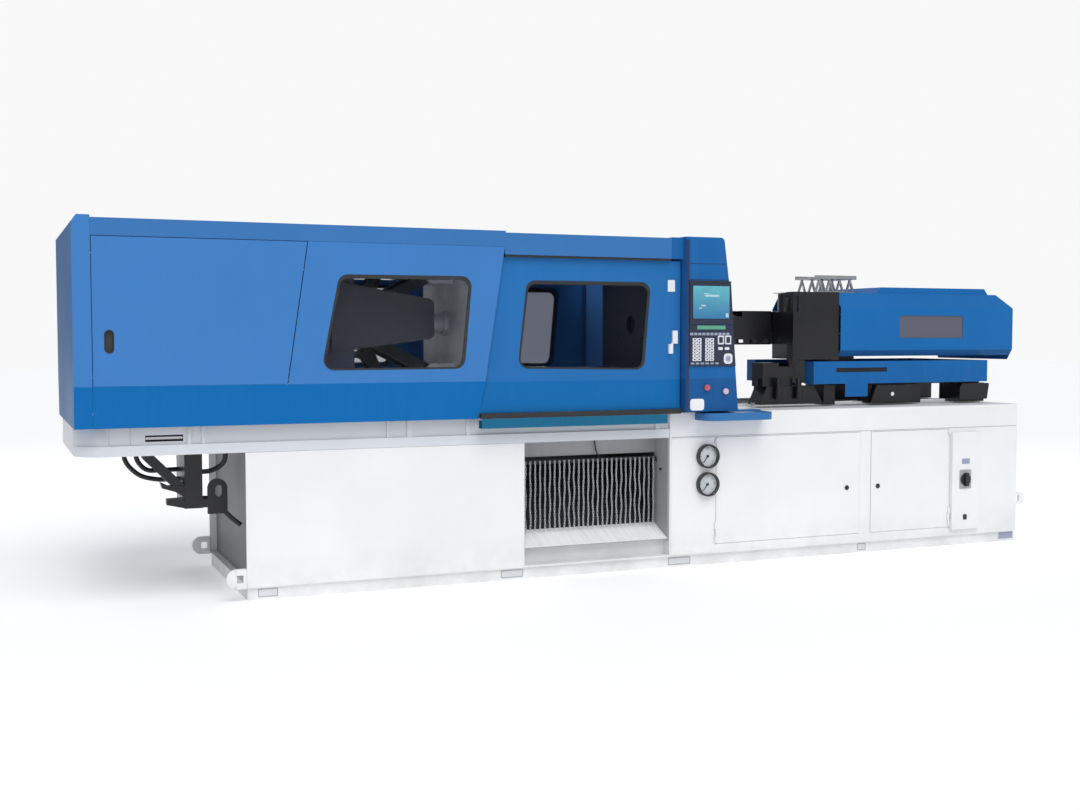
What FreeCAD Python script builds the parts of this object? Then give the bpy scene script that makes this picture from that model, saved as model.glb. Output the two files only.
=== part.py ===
"""Toggle-clamp injection moulding machine.

Frame: millimetres, +X from the clamp end to the injection end, the operator's side
at -Y, +Z up, origin at floor level on the centre line, midway along the base length.
"""
import FreeCAD, Part
import math
import os

from FreeCAD import Vector as V

os.makedirs("parts", exist_ok=True)

# --- driving dimensions ------------------------------------------------------
guard_left = -2550.0        # outer face of the clamp-end cover
base_right = 2550.0         # end of the base under the injection unit
guard_half = 600.0          # outer face of the front and rear guards
base_half = 520.0           # outer face of the base panels
skid_half = 500.0           # outer face of the skid
skid_top = 60.0
base_left = -1835.0
base_top = 790.0            # machined top of the injection bed
lip_bottom = 665.0          # underside of the clamp bed's lower lip
lip_top = 710.0
web_half = 508.0            # outer face of the clamp bed's web
way_top = 848.0             # ways that the platens slide on
door_y = -522.0             # outer face of the cabinet doors
door_bottom, door_top = 110.0, 658.0
left_hinge_x, right_hinge_x, hinge_y = 560.0, 2060.0, -527.2
knuckle_radius = 5.0
chute_left = -503.0
chute_right = 290.0
chute_sill = 155.0
strip_right = 552.0         # the gauge strip runs from the chute to here
wall = 8.0                  # welded plate
sheet = 3.0                 # guard sheet metal
guard_bottom = 790.0
band_top = 967.0            # top of the tapered lower band of the guards
roof_line = 1596.0          # lower edge of the roof's side flange
roof_top = 1662.0

axis_z = 1240.0             # centre line of clamp and injection
platen_half = 345.0
bar_offset = 270.0          # tie bars, from the centre line both ways
bar_radius = 40.0
fixed_face = 330.0          # mould face of the stationary platen
fixed_thick = 170.0
daylight = 900.0            # between the platens at rest, fully open
moving_thick = 160.0
tail_pin_z = 270.0          # toggle pivots on the tail platen, from the centre line
link_pin_z = 240.0          # toggle pivots on the moving platen
rear_len = 220.0            # rear link, tail pin to knee
front_len = 380.0           # front link, knee to platen pin
open_angle = 115.0          # rear link below the horizontal, clamp fully open
ear_along = 136.9           # crosshead-link pin on the rear link, along it
ear_across = 24.1           # and across it
cross_pin_z = 150.0         # crosshead-link pins on the crosshead
cross_len = 104.4
run_fit = 0.05              # radial clearance of a shaft in its hole
gap = 1.0                   # clear space between neighbouring sheet pieces
seam = 3.0                  # visible seam round the lift-off panels

nozzle_gap = 40.0           # nozzle tip to stationary platen at rest


# --- helpers -----------------------------------------------------------------
def box(x0, x1, y0, y1, z0, z1):
    return Part.makeBox(x1 - x0, y1 - y0, z1 - z0, V(x0, y0, z0))


def cyl_x(r, x0, x1, y, z):
    return Part.makeCylinder(r, x1 - x0, V(x0, y, z), V(1, 0, 0))


def cyl_y(r, y0, y1, x, z):
    return Part.makeCylinder(r, y1 - y0, V(x, y0, z), V(0, 1, 0))


def cyl_z(r, z0, z1, x, y):
    return Part.makeCylinder(r, z1 - z0, V(x, y, z0), V(0, 0, 1))


def plate_y(points, y0, y1):
    """Outline of (x, z) points, extruded from y0 to y1."""
    ring = [V(x, y0, z) for x, z in points]
    return Part.Face(Part.makePolygon(ring + ring[:1])).extrude(V(0, y1 - y0, 0))


def plate_x(points, x0, x1):
    """Outline of (y, z) points, extruded from x0 to x1."""
    ring = [V(x0, y, z) for y, z in points]
    return Part.Face(Part.makePolygon(ring + ring[:1])).extrude(V(x1 - x0, 0, 0))


def rounded_y(points, radius, y0, y1):
    """plate_y with every edge along Y rounded."""
    solid = plate_y(points, y0, y1)
    edges = [e for e in solid.Edges if abs(e.tangentAt(e.FirstParameter).y) > 0.99]
    return solid.makeFillet(radius, edges)


def rounded_x(points, radius, x0, x1):
    """plate_x with its outer corners towards the operator rounded."""
    solid = plate_x(points, x0, x1)
    near = min(p[0] for p in points)
    edges = [e for e in solid.Edges if abs(e.tangentAt(e.FirstParameter).x) > 0.99 and e.BoundBox.YMax < near + 1]
    return solid.makeFillet(radius, edges)


def fuse(shapes):
    return shapes[0].multiFuse(shapes[1:]).removeSplitter() if len(shapes) > 1 else shapes[0]


def cut(shape, tools):
    return shape.cut(tools).removeSplitter()


def mirror_y(shape):
    return shape.mirror(V(0, 0, 0), V(0, 1, 0))


def flip_z(shape):
    """Mirror about the clamp's horizontal centre plane."""
    return shape.mirror(V(0, 0, axis_z), V(0, 0, 1))


def at(p, q, along, across=0.0):
    """Point along the line p-q, and to the right of it, in (x, z)."""
    dx, dz = q[0] - p[0], q[1] - p[1]
    n = math.hypot(dx, dz)
    return (p[0] + dx / n * along + dz / n * across, p[1] + dz / n * along - dx / n * across)


def bar_y(p, q, half, y0, y1):
    """Straight bar between (x, z) points p and q with round ends."""
    a, b = at(p, q, 0, half), at(p, q, 0, -half)
    c, d = at(q, p, 0, half), at(q, p, 0, -half)
    ends = [cyl_y(half, y0, y1, *p), cyl_y(half, y0, y1, *q)]
    return fuse([plate_y([a, b, c, d], y0, y1)] + ends)


def both_sides(make, y0, y1):
    """The same layer at +Y and -Y."""
    return [make(y0, y1), make(-y1, -y0)]


nodes = {}


def keep(name, solids):
    nodes[name] = solids if isinstance(solids, list) else [solids]


# --- base --------------------------------------------------------------------
def base_frame():
    skid = [box(base_left + 5, 2560, s - 60 if s > 0 else s, s if s > 0 else s + 60, 0, skid_top)
            for s in (skid_half, -skid_half)]
    cross_x = [base_left + 5, -600, -20, 380, 1480, 2500]
    skid += [box(x, x + 60, -skid_half, skid_half, 0, skid_top) for x in cross_x]
    # left chest under the clamp bed
    chest_right = chute_left - gap
    chest = box(base_left, chest_right, -base_half, base_half, skid_top, lip_bottom - gap)
    inside = box(base_left - 1, chest_right - wall, -base_half + wall, base_half - wall,
                 skid_top + wall, lip_bottom + 1)
    end_wall = box(base_left + 35, base_left + 43, -base_half + wall, base_half - wall,
                   skid_top, lip_bottom - gap)
    # right cabinet under the injection unit, with a partition beside the gauge strip
    cabinet = box(chute_right + gap, base_right, -base_half, base_half, skid_top, base_top)
    bay = [box(strip_right + 20, 1460, -base_half - 1, base_half - wall, skid_top + 50, 765),
           box(1530, base_right - wall, -base_half - 1, base_half - wall, skid_top + 50, 765),
           box(chute_right + gap + wall, strip_right, -base_half + wall, base_half - wall,
               skid_top + wall, 765)]
    door_rebate = [box(560, 1460, -base_half - 1, -base_half + 4, 108, 660),
                   box(1530, 2060, -base_half - 1, -base_half + 4, 108, 660)]
    fascia = [box(strip_right + 20, 1460, -base_half, -base_half + wall, 640, 790),
              box(1530, base_right, -base_half, -base_half + wall, 640, 790),
              box(2040, base_right, -base_half, -base_half + wall, skid_top, 700)]
    # the toe space under the chute shelf is set back from the panels
    sill = [box(chute_left - gap, chute_right + gap, s0, s1, skid_top, chute_sill - 15)
            for s0, s1 in ((-base_half + 60, -base_half + 60 + wall), (base_half - 60 - wall, base_half - 60))]
    pan = box(chute_left - gap, chute_right + gap, -base_half, base_half, skid_top, skid_top + wall)
    strip = box(chute_right + 8, strip_right - 8, -base_half - 4, -base_half, 66, 660)
    gauge_holes = [cyl_y(48, -base_half - 5, -base_half + wall + 1, 502, z) for z in (565, 421)]
    # the frame's half of the door hinges, each with a leaf
    hinges = []
    for x, step in ((left_hinge_x, -1), (right_hinge_x, 1)):
        leaf_near, leaf_far = sorted((x + step, x + 9 * step))
        for z0, z1 in ((114, 149), (187, 222), (627, 641)):
            hinges.append(cyl_z(knuckle_radius, z0, z1, x, hinge_y))
            hinges.append(box(leaf_near, leaf_far, hinge_y - 2, -base_half, z0, z1))
    body = fuse([cut(chest, [inside]), end_wall, cut(cabinet, bay)] + fascia + sill + [pan, strip] + skid)
    return fuse([cut(body, gauge_holes + door_rebate)] + hinges)


def clamp_bed():
    """Welded bed: a web and lower lip that turn the corner at the clamp end, and the platen ways."""
    x0, x1, corner = guard_left + 5, chute_right - 1, 130.0

    def ring(half, z0, z1, width):
        def slab(inset, extra):
            flat = box(x0 + inset, x1 + extra, -half + inset, half - inset, z0, z1)
            posts = [e for e in flat.Edges
                     if abs(e.tangentAt(e.FirstParameter).z) > 0.99 and e.BoundBox.XMax < x0 + inset + 1]
            return flat.makeFillet(max(corner - inset, 12), posts)
        return slab(0, 0).cut(slab(width, 5))

    web_slots = [box(-2259, -2100, s - 20, s + 20, 724, 764) for s in (-web_half, web_half)]
    parts = [cut(ring(web_half, lip_bottom, 788, 8), web_slots), ring(base_half, lip_bottom, lip_top, 90)]
    for s in (-1, 1):
        def side(y0, y1, xa, xb, z0, z1):
            lo, hi = sorted((s * y0, s * y1))
            return box(xa, xb, lo, hi, z0, z1)
        parts += [side(300, web_half, -2400, x1, 752, 768),
                  side(300, 312, -2400, x1, lip_bottom, 768),
                  side(300, web_half, -2400, x1, lip_bottom, lip_bottom + 12),
                  side(230, 330, -1640, 280, 760, way_top)]
        for xa, xb in ((-2083, -2067), (-2023, -2007), (-1188, -1176), (-1090, -1062), (-800, -780), (211, 235)):
            parts.append(side(web_half - 4, base_half - 4, xa, xb, lip_top - 5, 786))
    for xa, xb in ((-2400, -2340), (-1840, -1780), (-720, -660), (238, x1)):
        parts.append(box(xa, xb, -310, 310, 680, 760))
    return fuse(parts)


def chute_lining():
    """Side walls, header, and the shelf that slopes down to the operator's side."""
    x0, x1 = chute_left + gap, chute_right - gap
    y_front, y_back = -base_half + wall + 1, 230.0
    z_front, z_back = chute_sill - 8, 468.0
    walls = [box(xa, xa + 4, y_front, -y_front, chute_sill - 14, lip_bottom - gap) for xa in (x0, x1 - 4)]
    shelf = plate_x([(y_front, z_front), (y_back, z_back), (y_back, z_back + 6), (y_front, z_front + 6)], x0, x1)
    header = box(x0, x1, rod_y + 21, rod_y + 25, 580, lip_bottom - gap)
    back = box(x0, x1, y_back, y_back + 4, z_back - 4, lip_bottom - gap)
    rear_panel = box(x0, x1, -y_front - 4, -y_front, chute_sill - 14, lip_bottom - gap)
    return fuse(walls + [shelf, header, back, rear_panel])


rod_y, rod_z = -390.0, 556.0
chain_count = 29
chain_foot = 212.0


def chain_rod():
    """Hanger rod with a hooked end, carried by the two side walls."""
    return cyl_x(6, chute_left + gap + 4, chute_right - gap - 4, rod_y, rod_z)


def chain_curtain():
    """One slim solid for each hanging chain; its foot lies on the shelf."""
    solids = []
    pitch = (chute_right - chute_left - 30) / chain_count
    for i in range(chain_count):
        x = chute_left + 22 + pitch * i
        solids.append(box(x, x + 9, rod_y - 15, rod_y - 7, chain_foot, rod_z + 8))
    return solids


def lifting_lugs():
    """Four plate lugs with a slotted eye, bolted to the ends of the base."""
    def eye(x_wall, x_tip, y, z, half):
        step = 1 if x_tip > x_wall else -1
        centre = x_tip - step * half
        plate = box(min(x_wall, centre), max(x_wall, centre), y - 9, y + 9, z - half, z + half)
        round_end = cyl_y(half, y - 9, y + 9, centre, z)
        slot = box(min(centre, centre - step * 30), max(centre, centre - step * 30), y - 10, y + 10, z - 17, z + 17)
        return cut(fuse([plate, round_end]), [slot])
    left = [eye(base_left - gap, -1925, y, 102, 45) for y in (-511, 511)]
    right = [eye(base_right + gap, 2640, y, 240, 34) for y in (-480, 480)]
    return left + right


def gauge_case(z):
    rim = cyl_y(61, -base_half - 34, -base_half - 5, 502, z)
    dish = cyl_y(54, -base_half - 35, -base_half - 12, 502, z)
    stem = cyl_y(12, -base_half - 5, -base_half + 40, 502, z)
    post = cyl_y(3, -base_half - 22, -base_half - 12, 502, z)
    return fuse([cut(rim, [dish]), stem, post])


def gauge_needle(z):
    hub = cyl_y(7, -base_half - 19, -base_half - 15, 502, z)
    tip = plate_y([(499, z), (505, z), (478, z - 34), (476, z - 33)], -base_half - 18, -base_half - 16)
    return cut(fuse([hub, tip]), [cyl_y(3 + run_fit, -base_half - 25, -base_half - 10, 502, z)])




def cabinet_door(x0, x1, hinge_x):
    """Pan door with returned edges and its half of the two hinges."""
    skin = box(x0, x1, door_y, door_y + 3, door_bottom, door_top)
    edge = 24.0
    rim = [box(x0 + edge, x1 - edge, door_y + 3, door_y + 22, door_bottom + edge, door_bottom + edge + 3),
           box(x0 + edge, x1 - edge, door_y + 3, door_y + 22, door_top - edge - 3, door_top - edge),
           box(x0 + edge, x0 + edge + 3, door_y + 3, door_y + 22, door_bottom + edge, door_top - edge),
           box(x1 - edge - 3, x1 - edge, door_y + 3, door_y + 22, door_bottom + edge, door_top - edge)]
    leaf_near, leaf_far = (x0, x0 + 8) if hinge_x < x0 else (x1 - 8, x1)
    knuckles = []
    for z0, z1 in ((150, 186), (642, 656)):
        knuckles.append(cyl_z(knuckle_radius, z0, z1, hinge_x, hinge_y))
        knuckles.append(box(min(hinge_x, leaf_near), max(hinge_x, leaf_far), hinge_y - 2, door_y + 0.5, z0, z1))
    return fuse([skin] + rim + knuckles)


def isolator_box():
    """Shallow raised box that carries the main switch."""
    shell = box(2070, 2268, door_y - 22, -base_half - gap, 95, 640)
    return cut(shell, [box(2076, 2262, door_y - 16, -base_half, 101, 634),
                       cyl_y(8 + run_fit, door_y - 30, -base_half, 2160, 375)])


def isolator_handle():
    spindle = cyl_y(8, door_y - 26, door_y - 12, 2160, 375)
    grip = box(2150, 2170, door_y - 44, door_y - 26, 338, 412)
    plate = cyl_y(34, door_y - 29, door_y - 24, 2160, 375)
    return fuse([spindle, grip, plate])


# --- guards ------------------------------------------------------------------
guard_edge_top = (-635.0, roof_line)
guard_edge_bottom = (-762.0, guard_bottom)
panel_edge_top = -1566.0
panel_edge_bottom = -1661.0
strip_x = -2476.0
band_in = 25.0
window_one = [(-1509, 1028), (-840, 1030), (-800, 1452), (-1424, 1450)]
window_two = [(-558, 1027), (110, 1015), (147, 1440), (-511, 1439)]
window_radius = 45.0


def grown(points, by):
    """Four-sided outline moved outwards by the same amount on all sides."""
    cx = sum(p[0] for p in points) / 4
    cz = sum(p[1] for p in points) / 4
    return [(x + math.copysign(by, x - cx), z + math.copysign(by, z - cz)) for x, z in points]


def band(x0, x1_low, x1_high):
    """Lower guard band, leaning inwards towards its foot."""
    outer = -guard_half
    profile = [(outer, band_top), (outer + band_in, guard_bottom),
               (outer + band_in + sheet, guard_bottom), (outer + sheet, band_top)]
    strip = plate_x(profile, x0, x1_high)
    trim = plate_y([(x1_low, guard_bottom - 1), (x1_high + 60, guard_bottom - 1),
                    (x1_high + 60, band_top + 1), (x1_high, band_top + 1)], -700, 0)
    return strip.cut(trim)


def front_fixed_guard():
    y0, y1 = -guard_half, -guard_half + sheet
    slant = (guard_edge_top[0] - guard_edge_bottom[0]) / (guard_edge_top[1] - guard_edge_bottom[1])
    x_band = guard_edge_bottom[0] + slant * (band_top - guard_bottom)
    panel = plate_y([(panel_edge_bottom + gap, band_top), (x_band, band_top),
                     (guard_edge_top[0], roof_line - gap), (panel_edge_top + gap, roof_line - gap)], y0, y1)
    lower = band(strip_x + gap, guard_edge_bottom[0], x_band)
    edge = plate_y([(x_band - 3, band_top), (x_band, band_top), (guard_edge_top[0], roof_line - gap),
                    (guard_edge_top[0] - 3, roof_line - gap)], y1, y1 + 5)
    foot = box(strip_x + gap, guard_edge_bottom[0], -guard_half + band_in, -565, guard_bottom, guard_bottom + 3)
    hole = rounded_y(window_one, window_radius, y0 - 1, y1 + 1)
    return cut(fuse([panel, lower, edge, foot]), [hole])


def rear_post():
    """Fixed channel that closes the rear between the gate and the injection end."""
    x0, x1, outer = 319.0, 620.0, guard_half
    return fuse([box(x0, x1, outer - sheet, outer, guard_bottom + gap, roof_line),
                 box(x0, x0 + sheet, 540, outer, guard_bottom + gap, roof_line),
                 box(x1 - sheet, x1, 540, outer, guard_bottom + gap, roof_line),
                 box(x0, x1, 470, outer, guard_bottom + gap, guard_bottom + gap + sheet)])


def guard_roof():
    """Folded cover: top sheet, side flanges and the header over the gates."""
    x0, x1 = strip_x + gap, 252.0
    top = [box(x0, -630, -guard_half, guard_half, roof_top - sheet + 8, roof_top + 8),
           box(-633, x1, -guard_half, guard_half, roof_top - sheet, roof_top)]
    step = box(-633, -630, -guard_half, guard_half, roof_top - sheet, roof_top + 8)
    sides = []
    for s0, s1 in ((-guard_half, -guard_half + sheet), (guard_half - sheet, guard_half)):
        sides += [box(x0, -630, s0, s1, roof_line, roof_top + 8),
                  box(-634, x1, s0, s1, 1560, roof_top)]
    return fuse(top + [step] + sides)


def clamp_end_cover():
    """End box: end face, two side strips, its own top and the tapered foot band."""
    h = guard_half
    outline = [(-h, band_top), (-h + band_in, guard_bottom), (h - band_in, guard_bottom), (h, band_top),
               (h, roof_top + 18), (-h, roof_top + 18)]
    outer = plate_x(outline, guard_left, strip_x)
    inner = plate_x([(y - math.copysign(sheet, y), z + (sheet if z < 900 else (-sheet if z > 1500 else 0)))
                     for y, z in outline], guard_left + sheet, strip_x + 1)
    shell = cut(outer, [inner])
    corner = plate_y([(guard_left - 1, roof_top - 12), (guard_left + 22, roof_top + 20),
                      (guard_left - 1, roof_top + 20)], -h - 1, h + 1)
    cap = plate_y([(guard_left, roof_top - 13), (guard_left + 22, roof_top + 18),
                   (guard_left + 26, roof_top + 15), (guard_left + 3, roof_top - 15)], -h, h)
    return fuse([cut(shell, [corner]), cap])


def access_panel():
    """Lift-off panel with a flush oval pull."""
    points = [(strip_x + seam, band_top + gap), (panel_edge_bottom - seam, band_top + gap),
              (panel_edge_top - seam, roof_line - seam), (strip_x + seam, roof_line - seam)]
    skin = plate_y(points, -guard_half, -guard_half + sheet)
    slot = fuse([box(-2427, -2387, -guard_half - 1, -guard_half + 4, 1125, 1185),
                 cyl_y(20, -guard_half - 1, -guard_half + 4, -2407, 1125),
                 cyl_y(20, -guard_half - 1, -guard_half + 4, -2407, 1185)])
    cup = fuse([box(-2431, -2383, -guard_half + sheet, -guard_half + 22, 1125, 1185),
                cyl_y(24, -guard_half + sheet, -guard_half + 22, -2407, 1125),
                cyl_y(24, -guard_half + sheet, -guard_half + 22, -2407, 1185)])
    hollow = fuse([box(-2427, -2387, -guard_half, -guard_half + 19, 1125, 1185),
                   cyl_y(20, -guard_half, -guard_half + 19, -2407, 1125),
                   cyl_y(20, -guard_half, -guard_half + 19, -2407, 1185)])
    return fuse([cut(skin, [slot]), cut(cup, [hollow])])


def fixed_window():
    y = -guard_half + sheet
    return rounded_y(grown(window_one, 14), window_radius, y + 0.3, y + 5.3)


gate_y = -575.0


def gate():
    """Sliding gate: skin with a window and returned edges."""
    skin_points = [(-790, 815), (315, 815), (315, 1550), (-665, 1550)]
    skin = plate_y(skin_points, gate_y, gate_y + sheet)
    returns = [box(-790, 315, gate_y + sheet, gate_y + 20, 815, 818),
               box(-665, 315, gate_y + sheet, gate_y + 20, 1547, 1550),
               box(312, 315, gate_y + sheet, gate_y + 20, 815, 1550)]
    hole = rounded_y(window_two, window_radius, gate_y - 1, gate_y + sheet + 1)
    return cut(fuse([skin] + returns), [hole])


def gate_window():
    y = gate_y + sheet
    return rounded_y(grown(window_two, 14), window_radius, y + 0.3, y + 5.3)


def gate_rails():
    """Guide channels that carry the gates, below and above, front and rear."""
    lower = [box(-752, 235, -guard_half, -guard_half + 3, 744, 790),
             box(-752, 235, -guard_half, -555, 744, 747)]
    lower += [box(-752, 235, -560, -557, 744, 780)]
    upper = [box(-1400, 250, -590, -587, 1565, 1600), box(-1400, 250, -590, -548, 1597, 1600),
             box(-1400, 250, -551, -548, 1565, 1600)]
    pair = [fuse(lower), fuse(upper)]
    return pair + [mirror_y(s) for s in pair]


def gate_handle():
    """Latch block and pull at the closing edge of the front gate."""
    block = box(268, 296, gate_y - 12, gate_y, 1140, 1205)
    pull = fuse([box(246, 268, gate_y - 16, gate_y, 1090, 1138), box(262, 272, gate_y - 10, gate_y, 1130, 1145)])
    return fuse([block, pull])


# --- console -----------------------------------------------------------------
console_front = -620.0


def console_column():
    outline = [(322, 800), (628, 800), (582, 1360), (540, 1670), (322, 1670)]
    solid = plate_y(outline, console_front, -380)
    corner = [e for e in solid.Edges
              if abs(e.tangentAt(e.FirstParameter).y) > 0.99 and e.BoundBox.ZMax > 1660 and e.BoundBox.XMax > 500]
    solid = solid.makeFillet(22, corner)
    inner = plate_y([(326, 804), (623, 804), (577, 1358), (530, 1650), (326, 1650)], console_front + 4, -384)
    neck = box(256, 322, -guard_half + 6, -380, 1560, 1666)
    holes = [cyl_y(11 + run_fit, console_front - 1, console_front + 5, x, z) for x, z in ((440, 920), (548, 900))]
    return cut(fuse([cut(solid, [inner]), neck]), holes)


def operator_screen():
    bezel = plate_y([(342, 1235), (592, 1235), (577, 1446), (342, 1446)], console_front - 8, console_front - 0.5)
    glass = box(356, 570, console_front - 9, console_front - 5, 1262, 1430)
    return cut(bezel, [glass])


def screen_glass():
    return box(357, 569, console_front - 8.5, console_front - 5.5, 1263, 1429)


def keypad_panel():
    return plate_y([(342, 1026), (609, 1026), (592, 1233), (342, 1233)], console_front - 6, console_front - 0.5)


def push_button(x, z):
    return fuse([cyl_y(11, console_front - 8, console_front + 14, x, z),
                 cyl_y(15, console_front - 16, console_front - 8, x, z)])


def console_tray():
    flat = box(435, 835, -660, -420, 752, 790)
    edges = [e for e in flat.Edges if abs(e.tangentAt(e.FirstParameter).z) > 0.99 and e.BoundBox.YMax < -600]
    flat = flat.makeFillet(70, edges)
    return cut(flat, [box(425, 855, -base_half - 0.5, -400, 700, 790.3)]).fuse(
        box(450, 825, -base_half - 4, -440, 791, 797)).fuse(
        box(450, 825, -base_half - 4, -base_half - 0.5, 770, 797)).removeSplitter()


# --- clamp -------------------------------------------------------------------
bar_spots = [(y, axis_z + z) for y in (-bar_offset, bar_offset) for z in (-bar_offset, bar_offset)]
moving_face = fixed_face - daylight
moving_back = moving_face - moving_thick
platen_pin = (moving_back - 100.0, axis_z + link_pin_z)
turn = math.radians(open_angle)
knee_drop = tail_pin_z - rear_len * math.sin(turn)
tail_pin_x = platen_pin[0] - (rear_len * math.cos(turn)
                              + math.sqrt(front_len ** 2 - (link_pin_z - knee_drop) ** 2))
tail_pin = (tail_pin_x, axis_z + tail_pin_z)
knee = (tail_pin_x + rear_len * math.cos(turn), axis_z + knee_drop)
tail_face = tail_pin_x - 215.0
tail_back = tail_face - 170.0
ear = at(tail_pin, knee, ear_along, ear_across)
cross_x = ear[0] - math.sqrt(cross_len ** 2 - (ear[1] - axis_z - cross_pin_z) ** 2)
cross_pin = (cross_x, axis_z + cross_pin_z)
pin_radius = 25.0


def platen(x0, x1, bar_hole):
    h = platen_half
    plate = plate_x([(-h, axis_z - h + 30), (-h + 30, axis_z - h), (h - 30, axis_z - h), (h, axis_z - h + 30),
                     (h, axis_z + h - 30), (h - 30, axis_z + h), (-h + 30, axis_z + h), (-h, axis_z + h - 30)],
                    x0, x1)
    return plate.cut([cyl_x(bar_hole, x0 - 1, x1 + 1, y, z) for y, z in bar_spots])


mould_bolt_half = (140.0, 70.0)


def mould_holes(x0, x1):
    """Tapped mould fixing holes, a rectangle of four, blind."""
    return [cyl_x(8, x0, x1, y, axis_z + z)
            for y in (-mould_bolt_half[0], mould_bolt_half[0]) for z in (-mould_bolt_half[1], mould_bolt_half[1])]


def stationary_platen():
    x1 = fixed_face + fixed_thick
    feet = [box(fixed_face + 10, x1 - 10, s - 50, s + 50, base_top + gap, axis_z - platen_half) for s in (-260, 260)]
    ring = [cyl_x(50, fixed_face - 1, fixed_face + 25, 0, axis_z), cyl_x(35, fixed_face, x1 + 1, 0, axis_z),
            Part.makeCone(35, 110, 95, V(x1 - 95 + 0.5, 0, axis_z), V(1, 0, 0))]
    body = fuse([platen(fixed_face, x1, bar_radius)] + feet)
    return cut(body, ring + mould_holes(fixed_face - 1, fixed_face + 40))


def tie_bars():
    bars = [cyl_x(bar_radius, tail_back - 150, fixed_face + fixed_thick + 60, y, z) for y, z in bar_spots]
    return bars


def tie_bar_nuts():
    nuts = []
    x0 = fixed_face + fixed_thick
    for y, z in bar_spots:
        outer = cyl_x(66, x0, x0 + 50, y, z)
        flats = Part.makeBox(50, 118, 140, V(x0, y - 59, z - 70))
        nuts.append(outer.common(flats).cut(cyl_x(bar_radius, x0 - 1, x0 + 51, y, z)))
    return nuts


def tail_platen():
    feet = [box(tail_back + 10, tail_face - 10, s - 45, s + 45, way_top + gap, axis_z - platen_half + 1)
            for s in (-275, 275)]
    body = platen(tail_back, tail_face, bar_radius + run_fit)
    lugs = []
    for side in both_sides(lambda a, b: bar_y((tail_face - 40, tail_pin[1]), tail_pin, 40, a, b), 34, 64):
        lugs += [side, flip_z(side)]
    bores = [cyl_y(pin_radius, -70, 70, tail_pin[0], axis_z + s * tail_pin_z) for s in (1, -1)]
    rod_hole = cyl_x(35, tail_back - 1, tail_face + 1, 0, axis_z)
    guide_holes = [cyl_x(18, tail_back - 1, tail_face + 1, y, axis_z) for y in (-205, 205)]
    casting = cut(fuse([body] + lugs + feet), bores + [rod_hole] + guide_holes)
    pins = [cyl_y(pin_radius, -64, 64, tail_pin[0], axis_z + s * tail_pin_z) for s in (1, -1)]
    guides = [cyl_x(18, tail_face - 120, tail_pin_x + 130, y, axis_z) for y in (-205, 205)]
    return [casting] + pins + guides


def adjusting_nuts():
    """Mould-height nuts behind the tail platen, toothed on the outside."""
    nuts = []
    for y, z in bar_spots:
        disc = cyl_x(72, tail_back - 46, tail_back - gap, y, z)
        rim = cyl_x(84, tail_back - 34, tail_back - 14, y, z)
        nuts.append(fuse([disc, rim]).cut(cyl_x(bar_radius + run_fit, tail_back - 60, tail_back, y, z)))
    return nuts


def clamp_cylinder():
    x0 = tail_back - 470
    tube = cyl_x(82, x0, tail_back - 40, 0, axis_z)
    flange = box(tail_back - 40, tail_back, -110, 110, axis_z - 110, axis_z + 110)
    cap = box(x0 - 40, x0, -95, 95, axis_z - 95, axis_z + 95)
    ports = [cyl_z(22, axis_z + 75, axis_z + 118, x, 0) for x in (x0 + 40, tail_back - 80)]
    bore = cyl_x(63, x0 + 5, tail_back - 30, 0, axis_z)
    rod_way = cyl_x(30 + run_fit, tail_back - 60, tail_back + 1, 0, axis_z)
    return cut(fuse([tube, flange, cap] + ports), [bore, rod_way])


def crosshead():
    x0, x1 = cross_x - 25, cross_x + 25
    beam = box(x0, x1, -240, 240, axis_z - 38, axis_z + 38)
    lugs = []
    for lug in both_sides(lambda a, b: bar_y((cross_x, axis_z), cross_pin, 24, a, b), 54, 74):
        lugs += [lug, flip_z(lug)]
    guide_holes = [cyl_x(18 + run_fit, x0 - 1, x1 + 1, y, axis_z) for y in (-205, 205)]
    rod = cyl_x(30, tail_back - 440, x0, 0, axis_z)
    piston = cyl_x(63 - run_fit, tail_back - 450, tail_back - 410, 0, axis_z)
    pin_bores = [cyl_y(12, -80, 80, cross_x, axis_z + s * cross_pin_z) for s in (1, -1)]
    casting = cut(fuse([beam] + lugs + [rod, piston]), guide_holes + pin_bores)
    pins = []
    for pin in both_sides(lambda a, b: cyl_y(12, a, b, *cross_pin), 32, 74):
        pins += [pin, flip_z(pin)]
    return [casting] + pins


def moving_platen():
    feet = [box(moving_back + 5, moving_face - 5, s - 45, s + 45, way_top + gap, axis_z - platen_half + 1)
            for s in (-275, 275)]
    lugs = []
    for lug in both_sides(lambda a, b: bar_y((moving_back + 40, platen_pin[1]), platen_pin, 42, a, b), 112, 140):
        lugs += [lug, flip_z(lug)]
    bores = [cyl_y(pin_radius, -150, 150, platen_pin[0], axis_z + s * link_pin_z) for s in (1, -1)]
    rod_hole = cyl_x(20 + run_fit, moving_back - 1, moving_face + 1, 0, axis_z)
    body = fuse([platen(moving_back, moving_face, bar_radius + run_fit)] + feet + lugs)
    casting = cut(body, bores + [rod_hole] + mould_holes(moving_face - 40, moving_face + 1))
    pins = [cyl_y(pin_radius, -140, 140, platen_pin[0], axis_z + s * link_pin_z) for s in (1, -1)]
    return [casting] + pins


def ejector_cylinder():
    x0, x1 = moving_back - 150, moving_back
    body = fuse([cyl_x(48, x0, x1 - 20, 0, axis_z), cyl_x(62, x1 - 20, x1, 0, axis_z)])
    return cut(body, [cyl_x(20 + run_fit, x0 + 10, x1 + 1, 0, axis_z)])


def ejector_rod():
    return cyl_x(20, moving_back - 130, moving_face - 4, 0, axis_z)


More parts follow.
